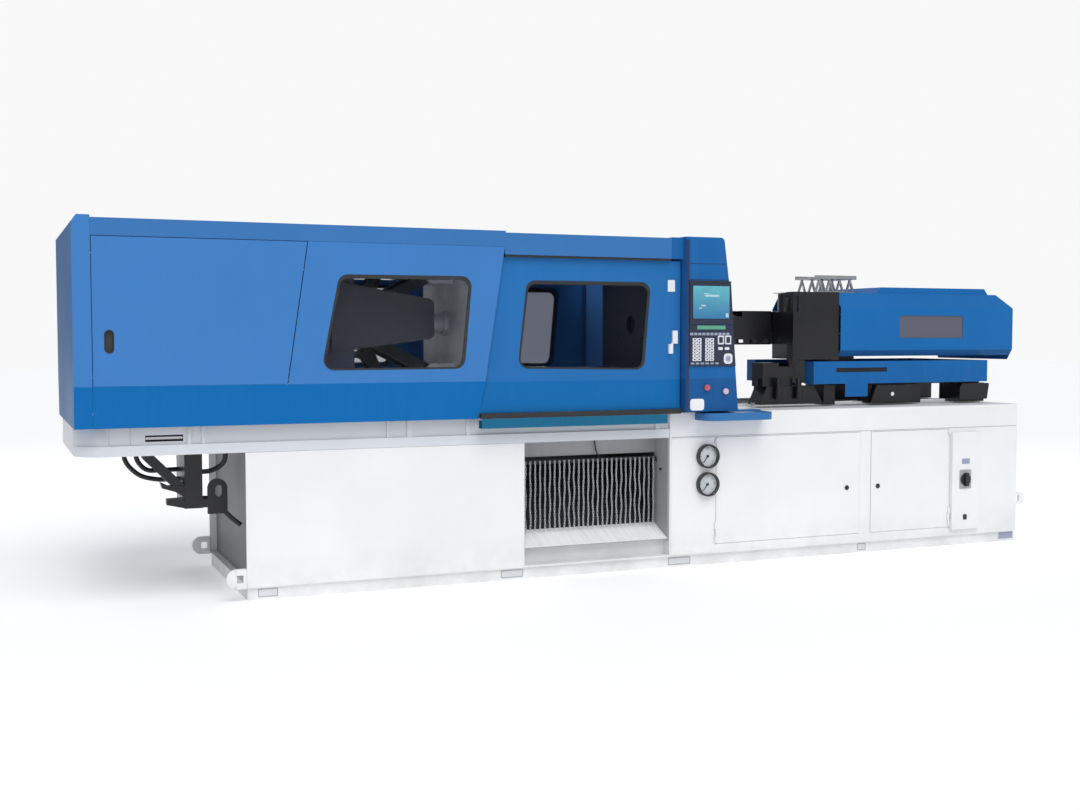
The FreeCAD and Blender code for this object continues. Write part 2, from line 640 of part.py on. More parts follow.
def rear_link():
    web = fuse([bar_y(tail_pin, knee, 28, -30, 30), bar_y(tail_pin, ear, 20, -30, 30), bar_y(ear, knee, 20, -30, 30),
                cyl_y(40, -30, 30, *tail_pin), cyl_y(40, -30, 30, *knee), cyl_y(24, -30, 30, *ear)])
    knee_pin = cyl_y(30, -74, 74, *knee)
    return cut(fuse([web, knee_pin]), [cyl_y(pin_radius + run_fit, -31, 31, *tail_pin)])


def front_link():
    arms = both_sides(lambda a, b: fuse([bar_y(knee, platen_pin, 28, a, b), cyl_y(40, a, b, *knee),
                                         cyl_y(38, a, b, *platen_pin)]), 78, 108)
    hub = cyl_y(38, -108, 108, *platen_pin)
    return cut(fuse(arms + [hub]), [cyl_y(pin_radius + run_fit, -109, 109, *platen_pin)])


def cross_link():
    """Two short plates between the crosshead pin and the rear link's ear."""
    plates = both_sides(lambda a, b: fuse([bar_y(cross_pin, ear, 17, a, b), cyl_y(22, a, b, *cross_pin),
                                           cyl_y(22, a, b, *ear)]), 33, 50)
    return [p.cut(cyl_y(12 + run_fit, -60, 60, *cross_pin)) for p in plates]


def toggle_shroud():
    """Tapered side plates over the toggles, bolted to the sides of the tail platen."""
    points = [(-1405, 1100), (-1405, 1436), (-925, 1356), (-905, 1340), (-905, 1180), (-925, 1164)]
    plate = plate_y(points, -362, -358)
    stands = [cyl_y(14, -358, -platen_half, x, z) for x, z in ((tail_back + 60, 1180), (tail_back + 60, 1360))]
    one = fuse([plate] + stands)
    return [one, mirror_y(one)]


# --- injection unit ----------------------------------------------------------
nozzle_tip = fixed_face + 60 + nozzle_gap
cover_left, cover_right = 1455.0, 2670.0
cover_half = 340.0


def octagon(half, low, waist, shoulder, top, chamfer_low, chamfer_top):
    return [(-half, waist), (-half, shoulder), (-half + chamfer_top, top), (half - chamfer_top, top),
            (half, shoulder), (half, waist), (half - chamfer_low, low), (-half + chamfer_low, low)]


def injection_cover():
    """Eight-sided sheet cover with a raised rear top and a window each side."""
    outer = plate_x(octagon(cover_half, 1040, 1100, 1335, 1418, 40, 70), cover_left, cover_right)
    nose = plate_y([(cover_right - 70, 1420), (cover_right + 1, 1340), (cover_right + 1, 1420)], -400, 400)
    hump = plate_y([(1740, 1416), (1785, 1452), (2520, 1452), (2575, 1380), (1740, 1380)],
                   -cover_half + 74, cover_half - 74)
    outer = fuse([outer.cut(nose), hump])
    inner = plate_x(octagon(cover_half - sheet, 1030, 1101, 1333, 1415, 40, 70), cover_left - 1, cover_right - sheet)
    inner_nose = plate_y([(cover_right - 73, 1417), (cover_right, 1334), (cover_right, 1420)], -400, 400)
    inner_hump = plate_y([(1744, 1412), (1787, 1449), (2518, 1449), (2570, 1380), (1744, 1380)],
                         -cover_half + 77, cover_half - 77)
    windows = [rounded_y([(1856, 1166), (2303, 1166), (2303, 1292), (1856, 1292)], 8, y, y + 8)
               for y in (-cover_half - 2, cover_half - 6)]
    return cut(outer, [fuse([inner.cut(inner_nose), inner_hump])] + windows)


def lower_cover():
    """Skirt below the main cover, with the long slot each side and a foot flap."""
    x0, x1, h = 1281.0, 2487.0, cover_half
    sides = []
    for s0, s1 in ((-h, -h + sheet), (h - sheet, h)):
        skin = box(x0, x1, s0, s1, 914, 1038)
        flap = box(1490, 1640, s0, s1, 842, 914)
        slot = fuse([box(1428, 1770, s0 - 1, s1 + 1, 978, 1002)])
        sides.append(fuse([skin, flap]).cut(slot))
    back = box(x1 - sheet, x1, -h, h, 914, 1038)
    front = [box(x0, x0 + sheet, -h, -250, 914, 1038), box(x0, x0 + sheet, 250, h, 914, 1038)]
    return fuse(sides + [back] + front)


def injection_rails():
    """Two ground rails on the base top that the injection unit slides on."""
    return [box(960, 2520, s - 25, s + 25, base_top, 815) for s in (-230, 230)]


def injection_carriage():
    """Cast housing on its slides and flared feet, with an open throat frame towards the operator."""
    drum = cyl_x(76, 1175, 1440, 0, axis_z)
    neck = cyl_z(44, axis_z, 1416, 1320, 0)
    collar = box(1150, 1200, -118, 118, 1132, 1312)
    rear_wall = [box(1400, 1450, -330, 255, 1045, 1310), box(1400, 1450, -330, -5, 1310, 1405)]
    side_plate = rounded_x([(-330, 1045), (-270, 1045), (-270, 1060), (-310, 1060), (-310, 1392), (-270, 1392),
                            (-270, 1405), (-330, 1405)], 10, 1185, 1450)
    front_wall = [box(1150, 1185, -330, 118, 1132, 1310), box(1150, 1185, -330, -270, 1045, 1140)]
    web = box(1400, 1640, -80, 80, 910, 1130)
    tongue = [box(1480, 1640, -210, 210, 910, 1100)]
    throat = [box(1150, 1450, -330, -314, 1395, 1418), box(1215, 1450, -148, -132, 1395, 1418),
              box(1150, 1175, -330, -260, 1395, 1418), box(1425, 1450, -330, -5, 1395, 1418),
              box(1150, 1170, -330, -302, 1300, 1400)]
    slides = []
    for s in (-230, 230):
        slides += [box(xa, xb, s - 70, s + 70, 797, 905) for xa, xb in ((1375, 1450), (1700, 2040), (2290, 2500))]
        slides.append(box(1375, 2490, s - 40, s + 40, 905, 912))
    rail_ways = [box(900, 2600, s - 25.5, s + 25.5, 780, 815.5) for s in (-230, 230)]
    body = fuse([drum, neck, collar, side_plate, web] + rear_wall + front_wall + tongue + slides + throat + slide_feet())
    barrel_bore = cyl_x(65, 1100, 1460, 0, axis_z)
    feed = cyl_z(32, axis_z, 1500, 1320, 0)
    rod_ways = [cyl_x(52, 1190, 1460, y, axis_z) for y in (-190, 190)]
    return cut(body, rail_ways + [barrel_bore, feed] + rod_ways)


def slide_feet():
    """Flared feet at the ends of the slides, outside the rails."""
    feet = []
    for s in (-1, 1):
        y0, y1 = sorted((s * 299, s * 338))
        feet.append(plate_y([(1664, 806), (1703, 902), (1940, 902), (1940, 806)], y0, y1))
        feet.append(rounded_y([(2290, 812), (2290, 880), (2310, 904), (2505, 904), (2490, 812)], 8, y0, y1))
    return feet


def front_stand():
    """Nozzle-end stand: a stepped casting on each rail, with bright guide pins on the near one."""
    foot = plate_y([(955, 806), (1365, 806), (1300, 904), (1000, 904)], -310, -190)
    near = fuse([foot, box(980, 1080, -300, -190, 904, 1032), box(1080, 1170, -300, -190, 904, 1010),
                 cyl_z(9, 890, 945, 975, -250), box(962, 985, -262, -238, 880, 905)])
    far = fuse([box(955, 1100, 190, 310, 806, 904), box(980, 1080, 190, 300, 904, 1032)])
    ways = [box(900, 1400, s - 25.5, s + 25.5, 780, 815.5) for s in (-230, 230)]
    pins = [cyl_z(17, 836, 950, x, -328) for x in (1060, 1190)]
    return [cut(near, ways), cut(far, ways)] + pins


def barrel():
    tube = cyl_x(65, nozzle_tip + 130, 1455, 0, axis_z)
    nose = Part.makeCone(28, 62, 60, V(nozzle_tip + 70, 0, axis_z), V(1, 0, 0))
    tip = cyl_x(28, nozzle_tip + 15, nozzle_tip + 70, 0, axis_z)
    point = Part.makeCone(12, 28, 15, V(nozzle_tip, 0, axis_z), V(1, 0, 0))
    bore = cyl_x(22.5 + run_fit, nozzle_tip + 130, 1500, 0, axis_z)
    way = cyl_x(3, nozzle_tip - 1, nozzle_tip + 140, 0, axis_z)
    feed = cyl_z(28, axis_z, 1320, 1320, 0)
    return cut(fuse([tube, nose, tip, point]), [bore, way, feed])


def heater_bands():
    return [cyl_x(71, x, x + 110, 0, axis_z).cut(cyl_x(65, x - 1, x + 111, 0, axis_z))
            for x in (600, 730, 860, 990)]


def injection_screw():
    x0 = nozzle_tip + 150
    core = cyl_x(14, x0, 1620, 0, axis_z)
    root = Part.makeCone(4, 22, 40, V(x0 - 2, 0, axis_z), V(1, 0, 0))
    shank = cyl_x(22.5, 1400, 1600, 0, axis_z)
    flights = [cyl_x(22.5, x, x + 5, 0, axis_z) for x in range(int(x0) + 45, 1380, 40)]
    return fuse([core, root, shank] + flights)


def screw_drive():
    """Thrust block, hydraulic motor and the two piston rods it moves with."""
    block = box(1640, 1760, -250, 250, axis_z - 70, axis_z + 70)
    motor = fuse([cyl_x(88, 1760, 1800, 0, axis_z), cyl_x(70, 1800, 2000, 0, axis_z)])
    rods = [fuse([cyl_x(22, 1250, 1640, y, axis_z), cyl_x(39, 1235, 1260, y, axis_z)]) for y in (-190, 190)]
    coupling = cyl_x(40, 1604, 1640, 0, axis_z)
    socket = cyl_x(14 + run_fit, 1600, 1625, 0, axis_z)
    return cut(fuse([block, motor, coupling] + rods), [socket])


def injection_cylinders():
    """The two cylinders that push the screw, beside the barrel."""
    tubes = []
    for y in (-190, 190):
        tube = cyl_x(51.7, 1205, 1560, y, axis_z).cut(cyl_x(40, 1220, 1548, y, axis_z))
        tubes.append(tube.cut(cyl_x(22 + run_fit, 1540, 1565, y, axis_z)))
    return tubes


def barrel_cover():
    """Perforated steel trough over the heater bands."""
    x0, x1, h = 778.0, 1147.0, 120.0
    profile = [(-h, 1130), (-h, 1316), (h, 1316), (h, 1130)]
    shell = plate_x(profile, x0, x1).cut(box(x0 - 1, x1 + 1, -h + sheet, h - sheet, 1100, 1316 - sheet))
    notch = box(870, 960, -h - 1, -h + 60, 1285, 1320)
    slots = [box(x, x + 42, s0, s1, 1140, 1158) for x in (790, 850, 925, 1010, 1085)
             for s0, s1 in ((-h - 1, -h + 5), (h - 5, h + 1))]
    return shell.cut([notch] + slots).removeSplitter()


def hopper_plate():
    """Silver throat plate across the top of the housing."""
    plate = fuse([box(1275, 1450, -60, 60, 1419, 1423.5), box(1440, 1735, -130, 130, 1419, 1423.5)])
    return plate.cut(cyl_z(34, 1400, 1430, 1320, 0))


def hopper_slide():
    """Braced slide that the hopper stands on, with its pull bar."""
    deck = box(1450, 1735, -100, 100, 1500, 1510)
    runners = [box(1455, 1730, s - 8, s + 8, 1424, 1432) for s in (-85, 85)]
    braces = []
    for s in (-85, 85):
        for x in (1465, 1535, 1605, 1675):
            braces.append(bar_y((x, 1430), (x + 25, 1502), 5, s - 6, s + 6))
            braces.append(bar_y((x + 45, 1430), (x + 20, 1502), 5, s - 6, s + 6))
    rim = [box(1450, 1735, s - 3, s + 3, 1510, 1522) for s in (-97, 97)]
    return fuse([deck] + runners + braces + rim)


# --- hydraulics --------------------------------------------------------------
def bed_valves():
    """Valve manifold hung from the clamp bed, with its suction pipe, claw bracket, lug and solenoids."""
    manifold = box(-2069, -1990, -300, -40, 400, 679)
    pipe = bar_y((-2225, 640), (-2060, 470), 22, -290, -210)
    upper_claw = plate_y([(-2174, 524), (-2140, 506), (-2069, 505), (-2069, 452), (-2110, 478), (-2166, 496)], -296, -250)
    lower_claw = plate_y([(-2147, 446), (-2147, 420), (-2069, 402), (-2069, 449)], -296, -250)
    lug = fuse([box(-1968, -1879, -300, -288, 371, 487), cyl_y(44.5, -300, -288, -1923.5, 487),
                box(-1992, -1960, -300, -288, 402, 440)])
    eye = fuse([box(-1932, -1905, -301, -287, 462, 488), cyl_y(13.5, -301, -287, -1918.5, 462),
                cyl_y(13.5, -301, -287, -1918.5, 488)])
    body = fuse([manifold, pipe, upper_claw, lower_claw, cut(lug, [eye])])
    coils = [box(-2062, -2020, -40, 20, z, z + 38) for z in (440, 520, 600)]
    return [body, *coils]


def hose(points, radius):
    """Round hose: straight runs joined by tangent arcs."""
    pts = [V(*p) for p in points]
    edges, start = [], pts[0]
    for i in range(1, len(pts) - 1):
        a, b, c = pts[i - 1], pts[i], pts[i + 1]
        u, w = (a - b), (c - b)
        run = 0.45 * min(u.Length, w.Length)
        u.normalize()
        w.normalize()
        p, q = b + u * run, b + w * run
        half = u.getAngle(w) / 2
        r = run * math.tan(half)
        centre = b + (u + w).normalize() * (r / math.sin(half))
        mid = centre + (b - centre).normalize() * r
        edges.append(Part.LineSegment(start, p).toShape())
        edges.append(Part.Arc(p, mid, q).toShape())
        start = q
    edges.append(Part.LineSegment(start, pts[-1]).toShape())
    path = Part.Wire(edges)
    first = (pts[1] - pts[0]).normalize()
    ring = Part.Wire(Part.makeCircle(radius, pts[0], first))
    return path.makePipeShell([ring], True, True)


hose_routes = [
    [(-2262, -120, 679), (-2258, -115, 610), (-2215, -110, 560), (-2150, -105, 560), (-2069, -105, 562)],
    [(-2310, -60, 679), (-2305, -58, 600), (-2240, -55, 530), (-2150, -55, 510), (-2069, -55, 512)],
    [(-1990, -250, 440), (-1950, -252, 438), (-1905, -260, 400), (-1865, -275, 350), (-1817, -280, 311)],
    [(-1990, -250, 560), (-1950, -253, 562), (-1915, -280, 580), (-1893, -322, 610), (-1890, -330, 661.0)],
]


def bed_hoses():
    return [hose(route, 11) for route in hose_routes]


def pump_motor():
    body = cyl_x(140, 1700, 2060, 120, 330)
    feet = box(1740, 2020, 20, 220, 111, 230)
    cowl = cyl_x(146, 2060, 2140, 120, 330)
    return fuse([body, feet, cowl])


def oil_pump():
    return fuse([cyl_x(70, 1600, 1700, 120, 330), box(1620, 1680, 60, 180, 380, 440)])


# --- write every node --------------------------------------------------------
def build():
    keep("base_frame", base_frame())
    keep("clamp_bed", clamp_bed())
    keep("chute_lining", chute_lining())
    keep("chain_curtain", [chain_rod()] + chain_curtain())
    keep("lifting_lugs", lifting_lugs())
    keep("gauge_cases", [gauge_case(565), gauge_case(421)])
    keep("upper_gauge_needle", gauge_needle(565))
    keep("lower_gauge_needle", gauge_needle(421))
    keep("left_cabinet_door", cabinet_door(562, 1458, left_hinge_x))
    keep("right_cabinet_door", cabinet_door(1532, 2058, right_hinge_x))
    keep("isolator_box", isolator_box())
    keep("isolator_handle", isolator_handle())
    fixed = front_fixed_guard()
    keep("front_fixed_guard", fixed)
    keep("rear_fixed_guard", [mirror_y(fixed), rear_post()])
    keep("guard_roof", guard_roof())
    keep("clamp_end_cover", clamp_end_cover())
    panel = access_panel()
    keep("access_panels", [panel, mirror_y(panel)])
    pane = fixed_window()
    keep("fixed_windows", [pane, mirror_y(pane)])
    keep("gate_rails", gate_rails())
    keep("front_gate", gate())
    keep("front_gate_window", gate_window())
    keep("front_gate_handle", gate_handle())
    keep("rear_gate", mirror_y(gate()))
    keep("rear_gate_window", mirror_y(gate_window()))
    keep("console_column", console_column())
    keep("operator_panel", [operator_screen(), screen_glass(), keypad_panel()])
    keep("stop_button", push_button(440, 920))
    keep("start_button", push_button(548, 900))
    keep("console_tray", console_tray())
    keep("stationary_platen", stationary_platen())
    keep("tie_bars", tie_bars() + tie_bar_nuts())
    keep("tail_platen", tail_platen())
    keep("adjusting_nuts", adjusting_nuts())
    keep("clamp_cylinder", clamp_cylinder())
    keep("crosshead", crosshead())
    keep("moving_platen", moving_platen() + [ejector_cylinder()])
    keep("ejector_rod", ejector_rod())
    rear, front, cross = rear_link(), front_link(), cross_link()
    keep("upper_rear_link", rear)
    keep("lower_rear_link", flip_z(rear))
    keep("upper_front_link", front)
    keep("lower_front_link", flip_z(front))
    keep("upper_cross_link", cross)
    keep("lower_cross_link", [flip_z(p) for p in cross])
    keep("toggle_shrouds", toggle_shroud())
    keep("injection_carriage", injection_carriage())
    keep("injection_rails", injection_rails())
    keep("front_stand", front_stand())
    keep("injection_cylinders", injection_cylinders())
    keep("hopper_plate", hopper_plate())
    keep("barrel", barrel())
    keep("heater_bands", heater_bands())
    keep("injection_screw", injection_screw())
    keep("screw_drive", screw_drive())
    keep("barrel_cover", barrel_cover())
    keep("injection_cover", injection_cover())
    keep("lower_cover", lower_cover())
    keep("hopper_slide", hopper_slide())
    keep("bed_valves", bed_valves())
    keep("bed_hoses", bed_hoses())
    keep("motor_and_pump", [pump_motor(), oil_pump()])
    for name, solids in nodes.items():
        shape = solids[0] if len(solids) == 1 else Part.makeCompound(solids)
        shape.exportStep("parts/%s.step" % name)
        if not shape.isValid() or len(shape.Solids) != len(solids):
            print("CHECK", name, shape.isValid(), len(shape.Solids), len(solids))
    print(len(nodes), "nodes; tail pin x", round(tail_pin_x, 1), "crosshead x", round(cross_x, 1))


build()
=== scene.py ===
# %% [markdown]
# # An injection moulding machine, dressed for rendering
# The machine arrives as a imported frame: every part that moves, carries load or is
# fastened is already there in its true size. This lesson gives those parts their
# finishes, and adds the small visible pieces that make a factory machine look real:
# chains, keys, dials, latches and panes.

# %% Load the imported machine
import bpy
import bmesh
import math
import random
from mathutils import Matrix, Vector


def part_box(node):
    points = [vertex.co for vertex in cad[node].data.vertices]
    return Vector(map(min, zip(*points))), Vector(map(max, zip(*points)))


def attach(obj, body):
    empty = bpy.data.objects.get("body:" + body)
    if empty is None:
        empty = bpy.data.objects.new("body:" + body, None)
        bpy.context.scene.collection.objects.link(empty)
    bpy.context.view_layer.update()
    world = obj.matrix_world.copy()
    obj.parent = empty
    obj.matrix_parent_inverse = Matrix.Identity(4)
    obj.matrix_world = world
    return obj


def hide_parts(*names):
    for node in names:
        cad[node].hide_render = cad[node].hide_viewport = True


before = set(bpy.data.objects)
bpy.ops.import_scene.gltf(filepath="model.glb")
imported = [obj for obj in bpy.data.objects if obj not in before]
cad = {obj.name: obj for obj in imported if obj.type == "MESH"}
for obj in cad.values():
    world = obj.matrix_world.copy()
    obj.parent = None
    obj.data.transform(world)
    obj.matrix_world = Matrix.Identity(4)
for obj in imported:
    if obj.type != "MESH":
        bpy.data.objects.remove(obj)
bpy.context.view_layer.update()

# %% [markdown]
# ## Camera
# The machine is long, so it is seen a little from its clamp end with a mild
# telephoto lens. A long lens keeps the far end from shrinking too much.

# %% Camera
CAMERA_PLACE = Vector((-2.888, -6.300, 1.183))
CAMERA_YAW, CAMERA_PITCH = math.radians(-23.1), math.radians(-3.075)

camera_data = bpy.data.cameras.new("machine_camera")
camera_data.lens = 43.43
camera_data.sensor_width = 36.0
camera = bpy.data.objects.new("machine_camera", camera_data)
camera.location = CAMERA_PLACE
camera.rotation_euler = (math.radians(90) + CAMERA_PITCH, 0, CAMERA_YAW)
bpy.context.scene.collection.objects.link(camera)
bpy.context.scene.camera = camera
print("camera", [round(v, 3) for v in camera.location])

# %% [markdown]
# ## Light
# A catalogue picture is lit by large soft sources, so that painted sheet metal shows
# broad gradients and no hard shadows. A pale world fills in the rest.

# %% Soft studio light
def soft_lamp(name, place, aim, size, power):
    data = bpy.data.lights.new(name, "AREA")
    data.shape, data.size, data.size_y = "RECTANGLE", size[0], size[1]
    data.energy = power
    lamp = bpy.data.objects.new(name, data)
    lamp.location = place
    lamp.rotation_euler = (Vector(aim) - Vector(place)).to_track_quat("-Z", "Y").to_euler()
    bpy.context.scene.collection.objects.link(lamp)
    return lamp


def soft_sun(aim, strength, angle):
    data = bpy.data.lights.new("sky_panel", "SUN")
    data.energy, data.angle = strength, math.radians(angle)
    lamp = bpy.data.objects.new("sky_panel", data)
    lamp.rotation_euler = Vector(aim).to_track_quat("-Z", "Y").to_euler()
    bpy.context.scene.collection.objects.link(lamp)


soft_sun((0.02, 0.75, -1.0), 1.55, 45)
soft_lamp("front_softbox", (-3.5, -7.0, 3.6), (0, 0, 0.9), (5, 3), 60)
soft_lamp("end_softbox", (-7.5, -0.5, 2.6), (0, 0, 0.9), (3, 3), 8)
soft_lamp("rear_softbox", (2.5, 6.5, 3.5), (0, 0, 0.9), (6, 3), 70)

# The backdrop looks almost white to the lens, but lights the machine more gently.
world = bpy.data.worlds.new("studio_world")
world.use_nodes = True
backdrop = world.node_tree
soft = backdrop.nodes["Background"]
soft.inputs["Color"].default_value = (0.94, 0.96, 1.0, 1)
soft.inputs["Strength"].default_value = 0.42
paper = backdrop.nodes.new("ShaderNodeBackground")
paper.inputs["Color"].default_value = (0.94, 0.94, 0.945, 1)
seen = backdrop.nodes.new("ShaderNodeLightPath")
either = backdrop.nodes.new("ShaderNodeMixShader")
backdrop.links.new(seen.outputs["Is Camera Ray"], either.inputs[0])
backdrop.links.new(soft.outputs[0], either.inputs[1])
backdrop.links.new(paper.outputs[0], either.inputs[2])
backdrop.links.new(either.outputs[0], backdrop.nodes["World Output"].inputs[0])
bpy.context.scene.world = world
bpy.context.scene.view_settings.view_transform = "Standard"
print("lamps:", len(bpy.data.lights))

# %% [markdown]
# ## Helpers for materials
# A node tree is easier to read when each node is one line: its kind, the values on
# its sockets, and the nodes that feed it.

# %% Node helpers
def add_node(tree, kind, **sockets):
    """New shader node; a socket is given as name=value or name=(node, output)."""
    node = tree.nodes.new(kind)
    for name, value in sockets.items():
        wire(tree, node, name.replace("_", " "), value)
    return node


def wire(tree, node, socket, value):
    target = node.inputs[socket] if isinstance(socket, (str, int)) else socket
    if isinstance(value, tuple) and len(value) == 2 and hasattr(value[0], "outputs"):
        tree.links.new(value[0].outputs[value[1]], target)
    elif isinstance(value, bpy.types.NodeSocket):
        tree.links.new(value, target)
    else:
        target.default_value = value


def calc(tree, operation, a, b=0.0, clamp=False):
    node = tree.nodes.new("ShaderNodeMath")
    node.operation, node.use_clamp = operation, clamp
    wire(tree, node, 0, a)
    wire(tree, node, 1, b)
    return node.outputs[0]


def ramp(tree, value, low, high, to_low=0.0, to_high=1.0):
    """Value stretched from low..high to to_low..to_high, clamped."""
    node = tree.nodes.new("ShaderNodeMapRange")
    for socket, v in zip(range(5), (value, low, high, to_low, to_high)):
        wire(tree, node, socket, v)
    return node.outputs[0]


def blend_colour(tree, factor, a, b):
    node = tree.nodes.new("ShaderNodeMix")
    node.data_type = "RGBA"
    wire(tree, node, node.inputs[0], factor)
    wire(tree, node, node.inputs[6], a)
    wire(tree, node, node.inputs[7], b)
    return node.outputs[2]


def noise(tree, where, scale, detail=3.0, roughness=0.5):
    node = add_node(tree, "ShaderNodeTexNoise", Vector=where, Scale=scale, Detail=detail, Roughness=roughness)
    return node.outputs[0]


def stretched(tree, where, scale):
    """Coordinates squeezed along some axes, for streaks and brushed lines."""
    node = add_node(tree, "ShaderNodeMapping", Vector=where, Scale=scale)
    return node.outputs[0]


def object_place(tree):
    """Place on the piece, in the machine's own frame."""
    return tree.nodes.new("ShaderNodeTexCoord").outputs["Object"]


def axes_of(tree, vector):
    return add_node(tree, "ShaderNodeSeparateXYZ", Vector=vector).outputs


def facing_of(tree):
    """The way the surface faces, axis by axis."""
    return axes_of(tree, tree.nodes.new("ShaderNodeNewGeometry").outputs["Normal"])


def new_group(name, inputs, outputs):
    """Node group with named sockets: (name, socket kind, default)."""
    tree = bpy.data.node_groups.new(name, "ShaderNodeTree")
    for label, kind, default in inputs:
        socket = tree.interface.new_socket(label, in_out="INPUT", socket_type=kind)
        socket.default_value = default
    for label, kind in outputs:
        tree.interface.new_socket(label, in_out="OUTPUT", socket_type=kind)
    return tree, tree.nodes.new("NodeGroupInput"), tree.nodes.new("NodeGroupOutput")


def use_group(tree, group, **values):
    node = tree.nodes.new("ShaderNodeGroup")
    node.node_tree = group
    for name, value in values.items():
        wire(tree, node, name.replace("_", " "), value)
    return node


FLOAT, COLOUR, VECTOR = "NodeSocketFloat", "NodeSocketColor", "NodeSocketVector"
print("node helpers ready")

# %% [markdown]
# ## Shared effects
# Paint on sheet metal is never one flat colour. Sprayed enamel has a fine orange
# peel, drifts slightly in tone over a metre, rubs thin along its edges, and gathers
# a film of dust low down. Each of these is one node group, so every finish can use
# it with its own strength.

# %% Group: sprayed skin
def make_sprayed_skin():
    """Fine orange peel of sprayed paint, and a slow drift of tone."""
    tree, given, out = new_group(
        "sprayed_skin", [("Peel Scale", FLOAT, 260.0), ("Drift Scale", FLOAT, 1.3)],
        [("Peel", FLOAT), ("Drift", FLOAT)])
    where = object_place(tree)
    coarse = noise(tree, where, given.outputs["Peel Scale"], 2.0)
    fine = noise(tree, where, calc(tree, "MULTIPLY", given.outputs["Peel Scale"], 4.0), 1.0)
    wire(tree, out, "Peel", calc(tree, "ADD", calc(tree, "MULTIPLY", coarse, 0.7), calc(tree, "MULTIPLY", fine, 0.3)))
    wire(tree, out, "Drift", ramp(tree, noise(tree, where, given.outputs["Drift Scale"], 4.0, 0.6), 0.3, 0.7))
    return tree


SPRAYED_SKIN = make_sprayed_skin()
print("group", SPRAYED_SKIN.name)


# %% Group: rubbed edges
def make_rubbed_edges():
    """Mask of the outer edges, broken up so that wear comes in patches."""
    tree, given, out = new_group(
        "rubbed_edges", [("Width", FLOAT, 0.004), ("Amount", FLOAT, 0.5)], [("Mask", FLOAT)])
    where = object_place(tree)
    soft = add_node(tree, "ShaderNodeBevel", Radius=given.outputs["Width"])
    soft.samples = 4
    flat = tree.nodes.new("ShaderNodeNewGeometry").outputs["Normal"]
    lean = tree.nodes.new("ShaderNodeVectorMath")
    lean.operation = "DOT_PRODUCT"
    wire(tree, lean, 0, soft.outputs[0])
    wire(tree, lean, 1, flat)
    edge = ramp(tree, lean.outputs["Value"], 0.995, 0.90)
    patches = ramp(tree, noise(tree, where, 38.0, 4.0, 0.7), 0.50, 0.68)
    patchy = calc(tree, "MULTIPLY", edge, patches)
    wire(tree, out, "Mask", calc(tree, "MULTIPLY", patchy, given.outputs["Amount"], True))
    return tree


RUBBED_EDGES = make_rubbed_edges()
print("group", RUBBED_EDGES.name)


# %% Group: settled dust
def make_settled_dust():
    """Dust that thickens towards the floor, with faint vertical streaks above it."""
    tree, given, out = new_group(
        "settled_dust", [("Top", FLOAT, 0.3), ("Streak", FLOAT, 0.3)], [("Mask", FLOAT)])
    where = object_place(tree)
    low = ramp(tree, axes_of(tree, where)["Z"], given.outputs["Top"], 0.0)
    cloud = ramp(tree, noise(tree, where, 7.0, 5.0, 0.65), 0.35, 0.75)
    streak = ramp(tree, noise(tree, stretched(tree, where, (30.0, 30.0, 1.4)), 1.0, 3.0), 0.52, 0.72)
    film = calc(tree, "MULTIPLY", low, cloud)
    runs = calc(tree, "MULTIPLY", streak, given.outputs["Streak"])
    wire(tree, out, "Mask", calc(tree, "ADD", film, runs, True))
    return tree


SETTLED_DUST = make_settled_dust()
print("group", SETTLED_DUST.name)


# %% Group: machined lines
def make_machined_lines():
    """Fine parallel marks of grinding or brushing along one direction."""
    tree, given, out = new_group(
        "machined_lines", [("Stretch", VECTOR, (1.0, 1.0, 1.0)), ("Scale", FLOAT, 100.0)],
        [("Lines", FLOAT), ("Patches", FLOAT)])
    where = object_place(tree)
    along = tree.nodes.new("ShaderNodeVectorMath")
    along.operation = "MULTIPLY"
    wire(tree, along, 0, where)
    wire(tree, along, 1, given.outputs["Stretch"])
    wire(tree, out, "Lines", noise(tree, along.outputs[0], given.outputs["Scale"], 4.0, 0.7))
    wire(tree, out, "Patches", ramp(tree, noise(tree, where, 9.0, 4.0, 0.6), 0.35, 0.7))
    return tree


MACHINED_LINES = make_machined_lines()
print("group", MACHINED_LINES.name)


# %% Group: cast skin
def make_cast_skin():
    """Lumpy skin of a sand casting under thick paint."""
    tree, given, out = new_group("cast_skin", [("Grain", FLOAT, 90.0)], [("Height", FLOAT), ("Stain", FLOAT)])
    where = object_place(tree)
    grit = noise(tree, where, given.outputs["Grain"], 5.0, 0.7)
    swell = noise(tree, where, calc(tree, "MULTIPLY", given.outputs["Grain"], 0.15), 2.0)
    wire(tree, out, "Height",
         calc(tree, "ADD", calc(tree, "MULTIPLY", grit, 0.5), calc(tree, "MULTIPLY", swell, 0.5)))
    wire(tree, out, "Stain", ramp(tree, noise(tree, where, 5.0, 6.0, 0.7), 0.45, 0.75))
    return tree


CAST_SKIN = make_cast_skin()
print("group", CAST_SKIN.name)

# %% [markdown]
# ## Finishes
# Each finish is one material. The shader itself stays in the material, and the
# shared groups only feed its colour, roughness and bump.

# %% A finish starts with its shader
def start_finish(name):
    material = bpy.data.materials.new(name)
    material.use_nodes = True
    tree = material.node_tree
    tree.nodes.clear()
    shader = tree.nodes.new("ShaderNodeBsdfPrincipled")
    surface = tree.nodes.new("ShaderNodeOutputMaterial")
    tree.links.new(shader.outputs[0], surface.inputs[0])
    return material, tree, shader


def bump(tree, shader, height, strength, distance):
    node = add_node(tree, "ShaderNodeBump", Strength=strength, Distance=distance, Height=height)
    wire(tree, shader, "Normal", node.outputs[0])


def tint(colour, factor):
    return tuple(min(1.0, c * factor) for c in colour[:3]) + (1.0,)


